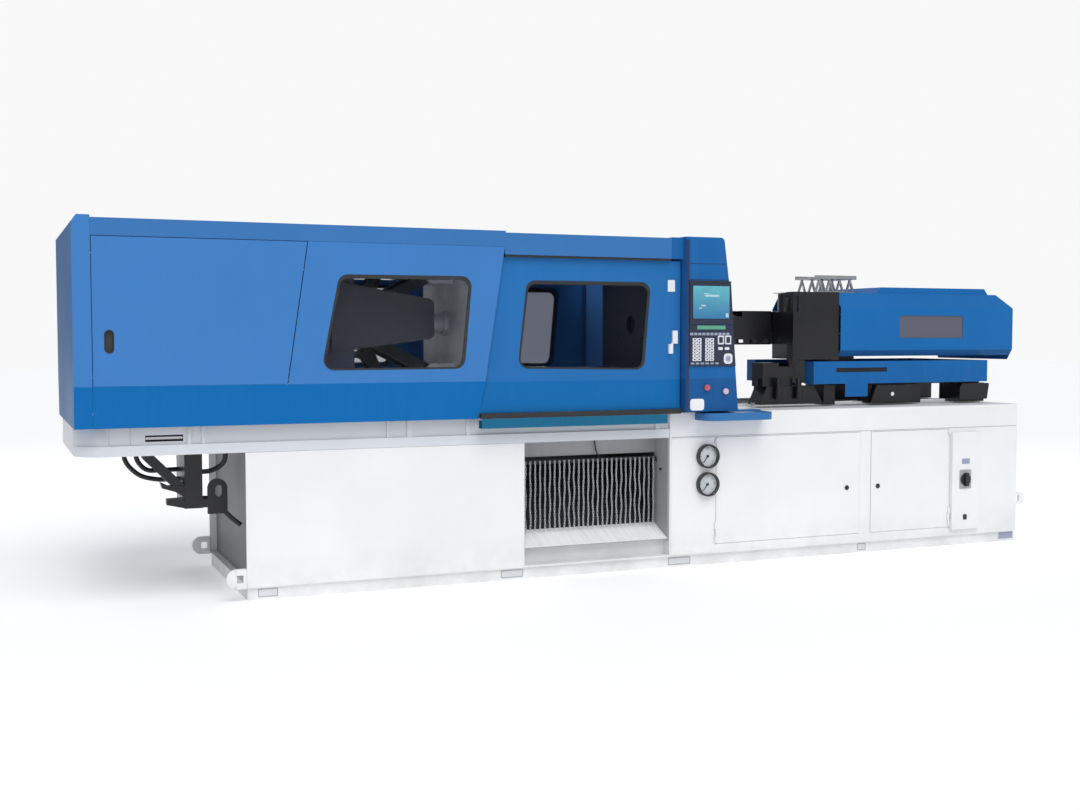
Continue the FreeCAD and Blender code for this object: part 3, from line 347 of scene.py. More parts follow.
# %% Painted shade on the recessed end wall
def recess_shade_mask(tree):
    """Mask of the recessed wall at the clamp end of the chest, where the white enamel is darkened as painted shade.
    """
    across = axes_of(tree, object_place(tree))["X"]
    ahead = calc(tree, "MULTIPLY", ramp(tree, across, -1.784, -1.788), ramp(tree, across, -1.826, -1.820))
    return calc(tree, "MULTIPLY", ahead, ramp(tree, facing_of(tree)["X"], -0.5, -0.6), True)


# %% Sprayed enamel
def enamel(name, colour, rough=0.38, peel=0.08, dust_top=0.25, dust=0.35, streak=0.06, wear=0.5,
           bare=(0.42, 0.42, 0.43, 1), deep=None, deep_below=None, gloss=0.5, recess_shade=None, end_face_shade=None):
    """Sprayed enamel on sheet metal; below deep_below it takes the deeper colour."""
    material, tree, shader = start_finish(name)
    skin = use_group(tree, SPRAYED_SKIN)
    edges = use_group(tree, RUBBED_EDGES, Amount=wear)
    film = use_group(tree, SETTLED_DUST, Top=dust_top, Streak=streak)
    base = blend_colour(tree, skin.outputs["Drift"], tint(colour, 0.95), tint(colour, 1.04))
    if deep:
        height = axes_of(tree, object_place(tree))["Z"]
        low = ramp(tree, height, deep_below + 0.002, deep_below - 0.002)
        base = blend_colour(tree, low, base, deep)
    # Faces that look along -X, to the clamp end, turn a darker blue: painted shade.
    if end_face_shade:
        base = blend_colour(tree, ramp(tree, facing_of(tree)["X"], -0.55, -0.75), base, end_face_shade)
    # The recessed end wall of the chest turns dark grey: painted shade.
    if recess_shade:
        base = blend_colour(tree, recess_shade_mask(tree), base, recess_shade)
    grimed = blend_colour(tree, calc(tree, "MULTIPLY", film.outputs[0], dust), base, (0.33, 0.31, 0.28, 1))
    wire(tree, shader, "Base Color", blend_colour(tree, edges.outputs[0], grimed, bare))
    shine = ramp(tree, skin.outputs["Drift"], 0.0, 1.0, rough - 0.04, rough + 0.05)
    wire(tree, shader, "Roughness", calc(tree, "ADD", shine, calc(tree, "MULTIPLY", film.outputs[0], 0.25), True))
    wire(tree, shader, "Metallic", calc(tree, "MULTIPLY", edges.outputs[0], 0.8))
    shader.inputs["Specular IOR Level"].default_value = gloss
    bump(tree, shader, skin.outputs["Peel"], peel, 0.0006)
    return material


# %% Bare and plated metal
def bright_metal(name, colour, rough, stretch=(1.0, 1.0, 1.0), scale=120.0, oil=0.3):
    """Machined or plated metal with fine lines and an uneven film of oil."""
    material, tree, shader = start_finish(name)
    lines = use_group(tree, MACHINED_LINES, Stretch=stretch, Scale=scale)
    tone = blend_colour(tree, lines.outputs["Lines"], tint(colour, 0.82), tint(colour, 1.12))
    filmed = blend_colour(tree, calc(tree, "MULTIPLY", lines.outputs["Patches"], oil), tone, tint(colour, 0.6))
    wire(tree, shader, "Base Color", filmed)
    shader.inputs["Metallic"].default_value = 1.0
    wire(tree, shader, "Roughness", ramp(tree, lines.outputs["Lines"], 0.3, 0.7, rough, rough + 0.15))
    bump(tree, shader, lines.outputs["Lines"], 0.12, 0.0003)
    return material


# %% Painted castings
def casting(name, colour, rough=0.5, wear=0.6, grain=90.0):
    """Thick machine paint over a cast skin, rubbed bright at the corners."""
    material, tree, shader = start_finish(name)
    skin = use_group(tree, CAST_SKIN, Grain=grain)
    edges = use_group(tree, RUBBED_EDGES, Amount=wear, Width=0.003)
    stained = blend_colour(tree, skin.outputs["Stain"], tint(colour, 1.1), tint(colour, 0.72))
    wire(tree, shader, "Base Color", blend_colour(tree, edges.outputs[0], stained, (0.36, 0.36, 0.37, 1)))
    wire(tree, shader, "Roughness", ramp(tree, skin.outputs["Stain"], 0.0, 1.0, rough, rough - 0.15))
    wire(tree, shader, "Metallic", edges.outputs[0])
    bump(tree, shader, skin.outputs["Height"], 0.25, 0.001)
    return material


# %% Moulded plastic and rubber
def moulded(name, colour, rough=0.45, grain=420.0, depth=0.12, mottle=0.06):
    """Moulded plastic or rubber: an even colour with a fine tool grain."""
    material, tree, shader = start_finish(name)
    skin = use_group(tree, SPRAYED_SKIN, Peel_Scale=grain, Drift_Scale=9.0)
    wire(tree, shader, "Base Color",
         blend_colour(tree, skin.outputs["Drift"], tint(colour, 1 - mottle), tint(colour, 1 + mottle)))
    wire(tree, shader, "Roughness", ramp(tree, skin.outputs["Drift"], 0.0, 1.0, rough - 0.05, rough + 0.06))
    bump(tree, shader, skin.outputs["Peel"], depth, 0.0004)
    return material


# %% A chute with painted shade on its walls and inside
def chute_enamel(name, shaded_wall, shelf, shaded_inside):
    """Walls grey with painted shade, a white sliding face, and near-black painted shade inside behind the chains."""
    material, tree, shader = start_finish(name)
    skin = use_group(tree, SPRAYED_SKIN)
    where = object_place(tree)
    # Faces that look up take the white; the side walls take the grey, which is painted shade.
    outer = blend_colour(tree, ramp(tree, facing_of(tree)["Z"], 0.45, 0.55), shaded_wall, shelf)
    rubbed = ramp(tree, noise(tree, stretched(tree, where, (60.0, 4.0, 4.0)), 1.0, 4.0), 0.45, 0.75)
    weave = ramp(tree, noise(tree, stretched(tree, where, (1.0, 1.0, 1.0)), 420.0, 1.0), 0.46, 0.54)
    worn = blend_colour(tree, calc(tree, "MULTIPLY", rubbed, 0.18), outer, tint(shaded_wall, 0.6))
    back = blend_colour(tree, weave, shaded_inside, tint(shaded_inside, 3.2))
    # Behind the chains the lining turns near black: painted shade of the unlit inside.
    deep = ramp(tree, axes_of(tree, where)["Y"], -0.3645, -0.3600)
    wire(tree, shader, "Base Color", blend_colour(tree, deep, worn, back))
    wire(tree, shader, "Roughness", ramp(tree, skin.outputs["Drift"], 0.0, 1.0, 0.42, 0.55))
    bump(tree, shader, skin.outputs["Peel"], 0.1, 0.0006)
    return material


# %% A lit screen
def lit_screen(name, top, bottom, z_low, z_high):
    """Screen whose glow fades from top to bottom, behind a slightly uneven film."""
    material, tree, shader = start_finish(name)
    skin = use_group(tree, SPRAYED_SKIN, Peel_Scale=900.0, Drift_Scale=14.0)
    height = axes_of(tree, object_place(tree))["Z"]
    glow = blend_colour(tree, ramp(tree, height, z_low, z_high), bottom, top)
    uneven = blend_colour(tree, calc(tree, "MULTIPLY", skin.outputs["Drift"], 0.3), glow, tint(bottom, 0.7))
    wire(tree, shader, "Base Color", uneven)
    wire(tree, shader, "Emission Color", uneven)
    shader.inputs["Emission Strength"].default_value = 0.35
    wire(tree, shader, "Roughness", ramp(tree, skin.outputs["Drift"], 0.0, 1.0, 0.16, 0.26))
    return material


# %% Window sheet
def window_sheet(name, colour, rough=0.05, haze=0.04, through=1.0):
    """Clear or tinted polycarbonate with faint wiping marks."""
    material, tree, shader = start_finish(name)
    marks = use_group(tree, MACHINED_LINES, Stretch=(1.0, 1.0, 7.0), Scale=6.0)
    wire(tree, shader, "Base Color",
         blend_colour(tree, marks.outputs["Lines"], tint(colour, 0.96), tint(colour, 1.03)))
    wire(tree, shader, "Roughness", ramp(tree, marks.outputs["Patches"], 0.0, 1.0, rough, rough + haze))
    shader.inputs["Transmission Weight"].default_value = through
    shader.inputs["IOR"].default_value = 1.12
    bump(tree, shader, marks.outputs["Lines"], 0.02, 0.0004)
    return material


# %% [markdown]
# ## The machine's own finishes
# White and light grey enamel for the base, textured blue for the guards, satin black
# for the mechanism, ground chrome for everything that slides.

# %% The machine's finishes
BLUE = (0.050, 0.195, 0.500, 1)
BLUE_DEEP = (0.001, 0.135, 0.410, 1)
RUBBED_BLUE = (0.25, 0.33, 0.45, 1)
MATT = 0.12
finishes = {
    # The base white turns dark grey on the recessed end wall: painted shade.
    "base_white": enamel("base_white_enamel", (0.815, 0.82, 0.825, 1), rough=0.42, dust_top=0.22, wear=0.12,
                         streak=0.02, gloss=0.3, recess_shade=(0.16, 0.165, 0.175, 1)),
    "bed_grey": enamel("bed_grey_enamel", (0.66, 0.68, 0.72, 1), rough=0.42, dust_top=0.2, wear=0.35),
    # The chute's grey walls and near-black inside are painted shade.
    "chute_grey": chute_enamel("chute_grey_enamel", (0.36, 0.36, 0.37, 1),
                               (0.92, 0.92, 0.93, 1), (0.012, 0.013, 0.016, 1)),
    # The guard blue turns darker on faces that look to the clamp end: painted shade.
    "guard_blue": enamel("guard_blue_enamel", BLUE, gloss=MATT, rough=0.42, peel=0.16, dust=0.15, wear=0.15,
                         bare=RUBBED_BLUE, deep=BLUE_DEEP, deep_below=0.967, end_face_shade=(0.016, 0.112, 0.300, 1)),
    "roof_blue": enamel("roof_blue_enamel", (0.043, 0.170, 0.430, 1), gloss=MATT, rough=0.42,
                        peel=0.16, dust=0.15, wear=0.2, bare=RUBBED_BLUE),
    "gate_blue": enamel("gate_blue_enamel", (0.020, 0.152, 0.420, 1), gloss=MATT, rough=0.40,
                        peel=0.14, dust=0.15, wear=0.2, bare=RUBBED_BLUE,
                        deep=(0.005, 0.135, 0.385, 1), deep_below=0.962),
    "rail_teal": enamel("rail_teal_enamel", (0.012, 0.130, 0.245, 1), gloss=MATT, rough=0.40, wear=0.3),
    "cover_blue": enamel("cover_blue_enamel", (0.010, 0.140, 0.410, 1), gloss=MATT, rough=0.36,
                         peel=0.12, dust=0.12, wear=0.15, bare=RUBBED_BLUE,
                         deep=(0.006, 0.085, 0.270, 1), deep_below=1.098),
    "skirt_blue": enamel("skirt_blue_enamel", (0.010, 0.130, 0.390, 1), gloss=MATT, rough=0.4, wear=0.2),
    "column_blue": enamel("column_blue_enamel", (0.012, 0.125, 0.370, 1), gloss=MATT, rough=0.40, peel=0.12, wear=0.2,
                          deep=(0.012, 0.095, 0.290, 1), deep_below=0.965),
    "tray_blue": enamel("console_tray_enamel", (0.036, 0.165, 0.400, 1), gloss=0.2, rough=0.36, peel=0.12, wear=0.25),
    "satin_black": casting("satin_black_enamel", (0.007, 0.007, 0.009, 1), rough=0.36, grain=160.0, wear=0.2),
    "cast_indigo": casting("platen_casting_paint", (0.055, 0.062, 0.105, 1), rough=0.5),
    "cast_pale": casting("moving_platen_paint", (0.86, 0.86, 0.88, 1), rough=0.45, wear=0.3),
    "link_paint": casting("link_casting_paint", (0.060, 0.064, 0.075, 1), rough=0.45),
    "motor_grey": casting("motor_grey_enamel", (0.22, 0.24, 0.26, 1), rough=0.45),
    "ground_chrome": bright_metal("ground_chrome", (0.78, 0.79, 0.80, 1), 0.10, (0.05, 1.0, 1.0), 300.0, 0.15),
    "machined_steel": bright_metal("machined_steel", (0.55, 0.55, 0.56, 1), 0.25, (0.1, 1.0, 1.0), 180.0),
    "zinc_chain": bright_metal("zinc_plated_chain", (0.80, 0.81, 0.82, 1), 0.22, (1.0, 1.0, 1.0), 150.0, 0.2),
    "heater_steel": bright_metal("heater_band_steel", (0.46, 0.43, 0.40, 1), 0.35, (1.0, 0.3, 0.3), 90.0, 0.5),
    "black_rubber": moulded("black_hose_rubber", (0.018, 0.018, 0.020, 1), rough=0.55, grain=700.0, depth=0.2),
    "black_plastic": moulded("black_case_plastic", (0.020, 0.021, 0.024, 1), rough=0.40),
    "shroud_black": casting("shroud_satin_enamel", (0.030, 0.033, 0.046, 1), rough=0.42, grain=160.0, wear=0.15),
    "white_plastic": moulded("white_latch_plastic", (0.80, 0.81, 0.83, 1), rough=0.35, mottle=0.03),
    "dial_white": moulded("dial_card_white", (0.84, 0.85, 0.86, 1), rough=0.6, mottle=0.02),
    "panel_film": moulded("keypad_film_dark", (0.018, 0.026, 0.055, 1), rough=0.32, grain=900.0, depth=0.06),
    "navy_strip": moulded("console_navy_film", (0.010, 0.030, 0.110, 1), rough=0.35, grain=900.0, depth=0.06),
    "key_white": moulded("key_cap_white", (0.72, 0.74, 0.80, 1), rough=0.35, mottle=0.03),
    "screen_pale": moulded("screen_field_pale", (0.45, 0.62, 0.68, 1), rough=0.3),
    "line_pale": moulded("skid_plate_pale", (0.66, 0.67, 0.69, 1), rough=0.5),
    "key_grey": moulded("key_cap_grey", (0.30, 0.34, 0.45, 1), rough=0.35),
    "stop_red": moulded("stop_button_red", (0.52, 0.10, 0.12, 1), rough=0.30, mottle=0.04),
    "screen_teal": lit_screen("operator_screen_picture", (0.10, 0.36, 0.42, 1), (0.03, 0.15, 0.30, 1), 1.27, 1.42),
    "lcd_green": lit_screen("lcd_strip", (0.10, 0.32, 0.22, 1), (0.07, 0.26, 0.18, 1), 1.21, 1.24),
    "slot_shadow": moulded("unlit_slot_paint", (0.006, 0.006, 0.008, 1), rough=0.7),
    # This grey serves printed marks and joints, and also painted shadow lines.
    "line_grey": moulded("printed_and_shadow_line_grey", (0.38, 0.39, 0.41, 1), rough=0.5),
    "start_pale": moulded("start_button_pale", (0.62, 0.45, 0.55, 1), rough=0.30, mottle=0.04),
    "window_clear": window_sheet("clear_polycarbonate", (0.93, 0.95, 0.96, 1)),
    "window_tinted": window_sheet("tinted_polycarbonate", (0.56, 0.58, 0.64, 1)),
    "window_cover": window_sheet("smoked_cover_pane", (0.19, 0.19, 0.24, 1), through=0.35),
}
print("finishes:", len(finishes))

# %% [markdown]
# ## Dressing the CAD parts
# A part that already has its true shape only needs its finish. The edges of real
# sheet metal and castings are never knife sharp, so most solid parts also get a small
# rounded edge from a weld and a bevel modifier, which leave its mesh untouched. The
# sheet panels, windows, hoses, screw and chain curtain keep their edges as they are.

# %% Which finish each part takes
wearing = {
    "base_white": ["base_frame", "lifting_lugs", "left_cabinet_door", "right_cabinet_door", "isolator_box"],
    "bed_grey": ["clamp_bed"],
    "chute_grey": ["chute_lining"],
    "guard_blue": ["front_fixed_guard", "rear_fixed_guard", "clamp_end_cover", "access_panels"],
    "roof_blue": ["guard_roof"],
    "gate_blue": ["front_gate", "rear_gate"],
    "rail_teal": ["gate_rails"],
    "column_blue": ["console_column"],
    "tray_blue": ["console_tray"],
    "cover_blue": ["injection_cover"],
    "skirt_blue": ["lower_cover"],
    "window_clear": ["fixed_windows"],
    "window_tinted": ["front_gate_window", "rear_gate_window"],
    "zinc_chain": ["chain_curtain"],
    "black_plastic": ["gauge_cases", "isolator_handle", "upper_gauge_needle", "lower_gauge_needle"],
    "white_plastic": ["front_gate_handle"],
    "panel_film": ["operator_panel"],
    "stop_red": ["stop_button"],
    "start_pale": ["start_button"],
    "cast_indigo": ["stationary_platen", "tail_platen", "crosshead"],
    "cast_pale": ["moving_platen"],
    "ground_chrome": ["tie_bars", "ejector_rod", "injection_rails"],
    "link_paint": ["upper_rear_link", "lower_rear_link", "upper_front_link", "lower_front_link",
                   "upper_cross_link", "lower_cross_link", "adjusting_nuts"],
    "shroud_black": ["toggle_shrouds"],
    "satin_black": ["clamp_cylinder", "injection_cylinders", "front_stand",
                    "injection_carriage", "bed_valves", "barrel_cover", "screw_drive"],
    "machined_steel": ["barrel", "injection_screw", "hopper_plate", "hopper_slide"],
    "heater_steel": ["heater_bands"],
    "black_rubber": ["bed_hoses"],
    "motor_grey": ["motor_and_pump"],
}


def soften(obj, width, clamp=True):
    weld = obj.modifiers.new("join_corners", "WELD")
    weld.merge_threshold = 0.00002
    edge = obj.modifiers.new("soft_edge", "BEVEL")
    edge.width, edge.segments, edge.limit_method = width, 2, "ANGLE"
    edge.angle_limit = math.radians(50)
    edge.use_clamp_overlap = clamp
    edge.harden_normals = False


def wear_finish(obj, finish):
    obj.data.materials.clear()
    obj.data.materials.append(finishes[finish])


SHEET_PARTS = {"front_fixed_guard", "rear_fixed_guard", "guard_roof", "clamp_end_cover", "access_panels",
               "front_gate", "rear_gate", "injection_cover", "lower_cover"}
NO_EDGE = {"bed_hoses", "injection_screw", "chain_curtain", "fixed_windows", "front_gate_window",
           "rear_gate_window"} | SHEET_PARTS
for finish, names in wearing.items():
    for name in names:
        wear_finish(cad[name], finish)
        if name not in NO_EDGE:
            soften(cad[name], 0.0015)
dressed = sum(len(v) for v in wearing.values())
print("dressed parts:", dressed, "of", len(cad))

# %% [markdown]
# ## Helpers for new pieces
# New pieces are drawn as meshes in the machine's own frame, in metres. Each one says
# which body carries it, so that it moves with that body.

# %% Mesh helpers
def block(mesh, low, high):
    """Six-sided block between two corners."""
    corners = [mesh.verts.new((x, y, z)) for x in (low[0], high[0]) for y in (low[1], high[1])
               for z in (low[2], high[2])]
    for ring in ((0, 1, 3, 2), (4, 6, 7, 5), (0, 4, 5, 1), (2, 3, 7, 6), (0, 2, 6, 4), (1, 5, 7, 3)):
        mesh.faces.new([corners[i] for i in ring])


def lathe_y(mesh, x, z, profile, sides=48, closed=False):
    """Turned shape about a Y axis through (x, z), from (radius, y) points; closed makes a ring."""
    rings = []
    for radius, y in profile:
        rings.append([mesh.verts.new((x + radius * math.cos(a), y, z + radius * math.sin(a)))
                      for a in (2 * math.pi * i / sides for i in range(sides))])
    for one, two in zip(rings, rings[1:] + rings[:1] if closed else rings[1:]):
        for i in range(sides):
            j = (i + 1) % sides
            mesh.faces.new((one[i], one[j], two[j], two[i]))
    if not closed:
        mesh.faces.new(rings[0][::-1])
        mesh.faces.new(rings[-1])


def slab_y(mesh, outline, y0, y1):
    """Outline of (x, z) points given thickness from y0 to y1."""
    near = [mesh.verts.new((x, y0, z)) for x, z in outline]
    far = [mesh.verts.new((x, y1, z)) for x, z in outline]
    count = len(outline)
    mesh.faces.new(near)
    mesh.faces.new(far[::-1])
    for i in range(count):
        j = (i + 1) % count
        mesh.faces.new((near[j], near[i], far[i], far[j]))


def rounded_box_outline(x0, x1, z0, z1, radius, steps=6):
    """Rectangle with rounded corners, as (x, z) points."""
    points = []
    for cx, cz, start in ((x1 - radius, z1 - radius, 0), (x0 + radius, z1 - radius, 90),
                          (x0 + radius, z0 + radius, 180), (x1 - radius, z0 + radius, 270)):
        for i in range(steps + 1):
            a = math.radians(start + 90 * i / steps)
            points.append((cx + radius * math.cos(a), cz + radius * math.sin(a)))
    return points


def finish_piece(name, mesh, finish, body, edge=0.0, smooth=None):
    """Turns the drawn mesh into an object that wears a finish and rides on a body."""
    bmesh.ops.recalc_face_normals(mesh, faces=mesh.faces)
    data = bpy.data.meshes.new(name)
    mesh.to_mesh(data)
    mesh.free()
    obj = bpy.data.objects.new(name, data)
    bpy.context.scene.collection.objects.link(obj)
    for one in (finish if isinstance(finish, (list, tuple)) else [finish]):
        obj.data.materials.append(finishes[one])
    if edge:
        soften(obj, edge)
    if smooth is not None:
        for polygon in data.polygons:
            polygon.use_smooth = True
        data.set_sharp_from_angle(angle=math.radians(smooth))
    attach(obj, body)
    return obj


# Faces of the machine that new pieces are fixed to, in metres.
GUARD_FACE, GATE_FACE, BASE_FACE = 0.600, 0.575, 0.520
SKID_FACE, WEB_FACE, BOX_FACE = 0.500, 0.508, 0.544
print("mesh helpers ready")

# %% [markdown]
# ## The chain curtain
# A curtain of short-link chains lets mouldings slide out of the chute and keeps
# hands out. Each chain is a run of oval links, every second one turned by a quarter.
# Every link is swept on its own, down each chain with a small sway.

# %% Chain curtain
def add_link(mesh, centre, turned, lean):
    """One oval link: two straight sides and two half rounds."""
    half_long, half_wide, wire_radius, around, section = 0.0052, 0.0036, 0.0014, 12, 5
    rings = []
    for i in range(around):
        a = 2 * math.pi * i / around
        run = half_long if math.sin(a) >= 0 else -half_long
        middle = Vector((half_wide * math.cos(a), 0, run + half_wide * math.sin(a)))
        out = Vector((math.cos(a), 0, math.sin(a)))
        ring = []
        for k in range(section):
            b = 2 * math.pi * k / section
            p = middle + out * wire_radius * math.cos(b) + Vector((0, wire_radius * math.sin(b), 0))
            if turned:
                p = Vector((p.y, p.x, p.z))
            ring.append(mesh.verts.new(centre + Matrix.Rotation(lean, 3, "Y") @ p))
        rings.append(ring)
    for i in range(around):
        one, two = rings[i], rings[(i + 1) % around]
        for k in range(section):
            j = (k + 1) % section
            mesh.faces.new((one[k], one[j], two[j], two[k]))


random.seed(7)
CHAINS, LINK_PITCH = 29, 0.0131
chains = bmesh.new()
links = 0
for i in range(CHAINS):
    x = -0.4765 + 0.02631 * i
    sway, phase = random.uniform(0.001, 0.0032), random.uniform(0, 6.28)
    count = int((0.562 - 0.214) / LINK_PITCH)
    for k in range(count):
        z = 0.551 - LINK_PITCH * k
        shift = sway * math.sin(phase + k * 0.55) * min(1.0, k / 5)
        lean = math.atan(sway * 0.55 * math.cos(phase + k * 0.55) / LINK_PITCH) * min(1.0, k / 5)
        add_link(chains, Vector((x + shift, -0.4010, z)), k % 2 == 1, -lean)
        links += 1
curtain = finish_piece("chain_links", chains, "zinc_chain", "root", smooth=80)
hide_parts("chain_curtain")
print("chain links:", links, "faces:", len(curtain.data.polygons))

# %% [markdown]
# ## The hanger rod
# The chains hang on one black rod that ends in a hook. A curve with a round section
# follows the bend of the hook smoothly.

# %% Hanger rod
def round_rod(name, points, radius, finish, body):
    """Round bar along a smooth curve."""
    data = bpy.data.curves.new(name, "CURVE")
    data.dimensions = "3D"
    data.bevel_depth, data.bevel_resolution, data.resolution_u, data.use_fill_caps = radius, 4, 10, True
    line = data.splines.new("NURBS")
    line.points.add(len(points) - 1)
    for spot, place in zip(line.points, points):
        spot.co = (*place, 1.0)
    line.order_u, line.use_endpoint_u = 3, True
    obj = bpy.data.objects.new(name, data)
    bpy.context.scene.collection.objects.link(obj)
    data.materials.append(finishes[finish])
    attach(obj, body)
    return obj


rod = round_rod("curtain_hanger_rod", [(-0.497, -0.390, 0.557), (-0.10, -0.390, 0.557), (0.246, -0.390, 0.557),
                                       (0.270, -0.390, 0.557), (0.279, -0.390, 0.548), (0.277, -0.390, 0.536)],
                0.008, "black_plastic", "root")
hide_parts("chain_curtain")
print("rod", rod.name)

# %% [markdown]
# ## Thin plates
# Labels, keys, gaskets and seals are thin parts with rounded corners. One helper
# draws any number of them into one piece.

# %% Plates and rings
def plates_y(name, finish, body, rows, edge=0.0003):
    """Thin rounded plates: (x0, x1, z0, z1, corner radius, y near, y far) each."""
    mesh = bmesh.new()
    for x0, x1, z0, z1, radius, near, far in rows:
        slab_y(mesh, rounded_box_outline(x0, x1, z0, z1, radius, 4), near, far)
    return finish_piece(name, mesh, finish, body, edge)


def rounded_outline(points, radius, steps=6):
    """Convex outline with every corner rounded, as (x, z) points."""
    corners = [Vector(p) for p in points]
    count, out = len(corners), []
    for i, corner in enumerate(corners):
        back = (corners[i - 1] - corner).normalized()
        on = (corners[(i + 1) % count] - corner).normalized()
        half = back.angle(on) / 2
        middle = corner + (back + on).normalized() * radius / math.sin(half)
        start = corner + back * radius / math.tan(half) - middle
        sweep = (corner + on * radius / math.tan(half) - middle).angle_signed(start)
        out += [tuple(middle + Matrix.Rotation(sweep * k / steps, 2) @ start) for k in range(steps + 1)]
    return out


def ring_y(mesh, outer, inner, near, far):
    """Frame between two outlines with the same number of points."""
    rings = [[mesh.verts.new((x, y, z)) for x, z in line] for line in (outer, inner) for y in (near, far)]
    outer_near, outer_far, inner_near, inner_far = rings
    for one, two in ((outer_near, outer_far), (outer_far, inner_far),
                     (inner_far, inner_near), (inner_near, outer_near)):
        for i in range(len(one)):
            j = (i + 1) % len(one)
            mesh.faces.new((one[i], one[j], two[j], two[i]))


print("plate helpers ready")

# %% [markdown]
# ## Window gaskets and seals
# Each window sits in a black rubber edging that hides the cut edge of the sheet. It is
# one extruded section, pushed on round the hole. Brush seals close the gaps above and
# below the sliding gate.

# %% Window gaskets
FIXED_WINDOW = [(-1.509, 1.028), (-0.840, 1.030), (-0.800, 1.452), (-1.424, 1.450)]
GATE_WINDOW = [(-0.558, 1.027), (0.110, 1.015), (0.147, 1.440), (-0.511, 1.439)]


def gasket(name, window, body, near, far):
    cx, cz = sum(p[0] for p in window) / 4, sum(p[1] for p in window) / 4
    inner = [(x - (0.013 if x > cx else -0.007), z - (0.015 if z > cz else -0.006)) for x, z in window]
    outer = [(x + math.copysign(0.003, x - cx), z + math.copysign(0.003, z - cz)) for x, z in window]
    mesh = bmesh.new()
    ring_y(mesh, rounded_outline(outer, 0.048), rounded_outline(inner, 0.038), near, far)
    return finish_piece(name, mesh, "black_rubber", body, 0.0008, smooth=40)


gasket("front_window_gasket", FIXED_WINDOW, "root", -GUARD_FACE - 0.0012, -GUARD_FACE + 0.0038)
gasket("rear_window_gasket", FIXED_WINDOW, "root", GUARD_FACE - 0.0038, GUARD_FACE - 0.0002)
gasket("front_gate_gasket", GATE_WINDOW, "front_gate_body", -GATE_FACE - 0.0012, -GATE_FACE + 0.0038)
gasket("rear_gate_gasket", GATE_WINDOW, "rear_gate_body", GATE_FACE - 0.0038, GATE_FACE + 0.0012)
print("gaskets: 4")

# %% Gate seals
for side, sign in (("front", -1), ("rear", 1)):
    near, far = sorted((sign * (GUARD_FACE - 0.0035), sign * (GATE_FACE + 0.0040)))
    plates_y(side + "_upper_gate_seal", "black_rubber", "root",
             [(-0.632, 0.251, 1.5495, 1.5605, 0.002, near, far)])
    near, far = sorted((sign * (GUARD_FACE - 0.0035), sign * (GATE_FACE + 0.0060)))
    plates_y(side + "_lower_gate_seal", "black_rubber", "root",
             [(-0.751, 0.312, 0.7905, 0.8145, 0.003, near, far)])
print("seals: 4")

# %% [markdown]
# ## Pull cups and a blank sign plate
# The lift-off panels are pulled by a flush cup, pressed from black plastic.

# %% Pull cups and sign plate
def pull_cup(name, near, far, back):
    mesh = bmesh.new()
    oval = rounded_box_outline(-2.4265, -2.3875, 1.1055, 1.2045, 0.0194)
    inner = rounded_box_outline(-2.4225, -2.3915, 1.1095, 1.2005, 0.0154)
    ring_y(mesh, oval, inner, near, far)
    slab_y(mesh, inner, *sorted((back, back + math.copysign(0.002, near))))
    return finish_piece(name, mesh, "black_plastic", "root", 0.0005)


pull_cup("front_pull_cup", -GUARD_FACE - 0.0008, -GUARD_FACE + 0.0170, -GUARD_FACE + 0.0150)
pull_cup("rear_pull_cup", GUARD_FACE - 0.0170, GUARD_FACE - 0.0002, GUARD_FACE - 0.0150)
plates_y("gate_sign_plate", "white_plastic", "front_gate_body",
         [(0.244, 0.284, 1.398, 1.456, 0.004, -GATE_FACE - 0.0014, -GATE_FACE + 0.0001)])
plates_y("console_sign_plate", "white_plastic", "root",
         [(0.350, 0.429, 0.806, 0.864, 0.014, -0.6216, -0.6199)])
print("cups and plates: 4")

# %% [markdown]
# ## The operator's console
# The face is a printed film over short-stroke keys. Printing is shown as plain
# fields of colour: the screen, a strip display, and blocks of keys.

# %% Console trim
plates_y("console_side_strip", "navy_strip", "root",
         [(0.3225, 0.3410, 0.8030, 1.6560, 0.002, -0.6222, -0.6198)])
plates_y("console_fold_lines", "navy_strip", "root",
         [(0.3430, 0.5500, 1.5365, 1.5395, 0.001, -0.6208, -0.6198),
          (0.3430, 0.5700, 1.4570, 1.4600, 0.001, -0.6208, -0.6198)])
plates_y("console_panel_rim", "black_plastic", "root",
         [(0.3425, 0.5785, 1.4465, 1.4525, 0.001, -0.6285, -0.6200)])
print("console trim: 3")

# %% Screen and strip display
PANEL_NEAR, PANEL_FAR = -0.6266, -0.6258
plates_y("screen_picture", "screen_teal", "root",
         [(0.3585, 0.5675, 1.2645, 1.4275, 0.003, -0.6289, -0.6284)])
fields = [(0.428, 0.508, 1.374, 1.384), (0.418, 0.446, 1.386, 1.391), (0.404, 0.430, 1.326, 1.333),
          (0.392, 0.410, 1.314, 1.319), (0.546, 0.562, 1.272, 1.292)]
plates_y("screen_fields", "screen_pale", "root",
         [(x0, x1, z0, z1, 0.001, -0.6293, -0.6287) for x0, x1, z0, z1 in fields])
plates_y("strip_display", "lcd_green", "root",
         [(0.384, 0.546, 1.2110, 1.2300, 0.002, PANEL_NEAR - 0.0006, PANEL_FAR)])
print("screen pieces: 3")

# %% Keys
def key_grid(x_list, z_list, half_wide, half_high, near=PANEL_NEAR - 0.0012, radius=0.003):
    return [(x - half_wide, x + half_wide, z - half_high, z + half_high, radius, near, PANEL_FAR)
            for x in x_list for z in z_list]


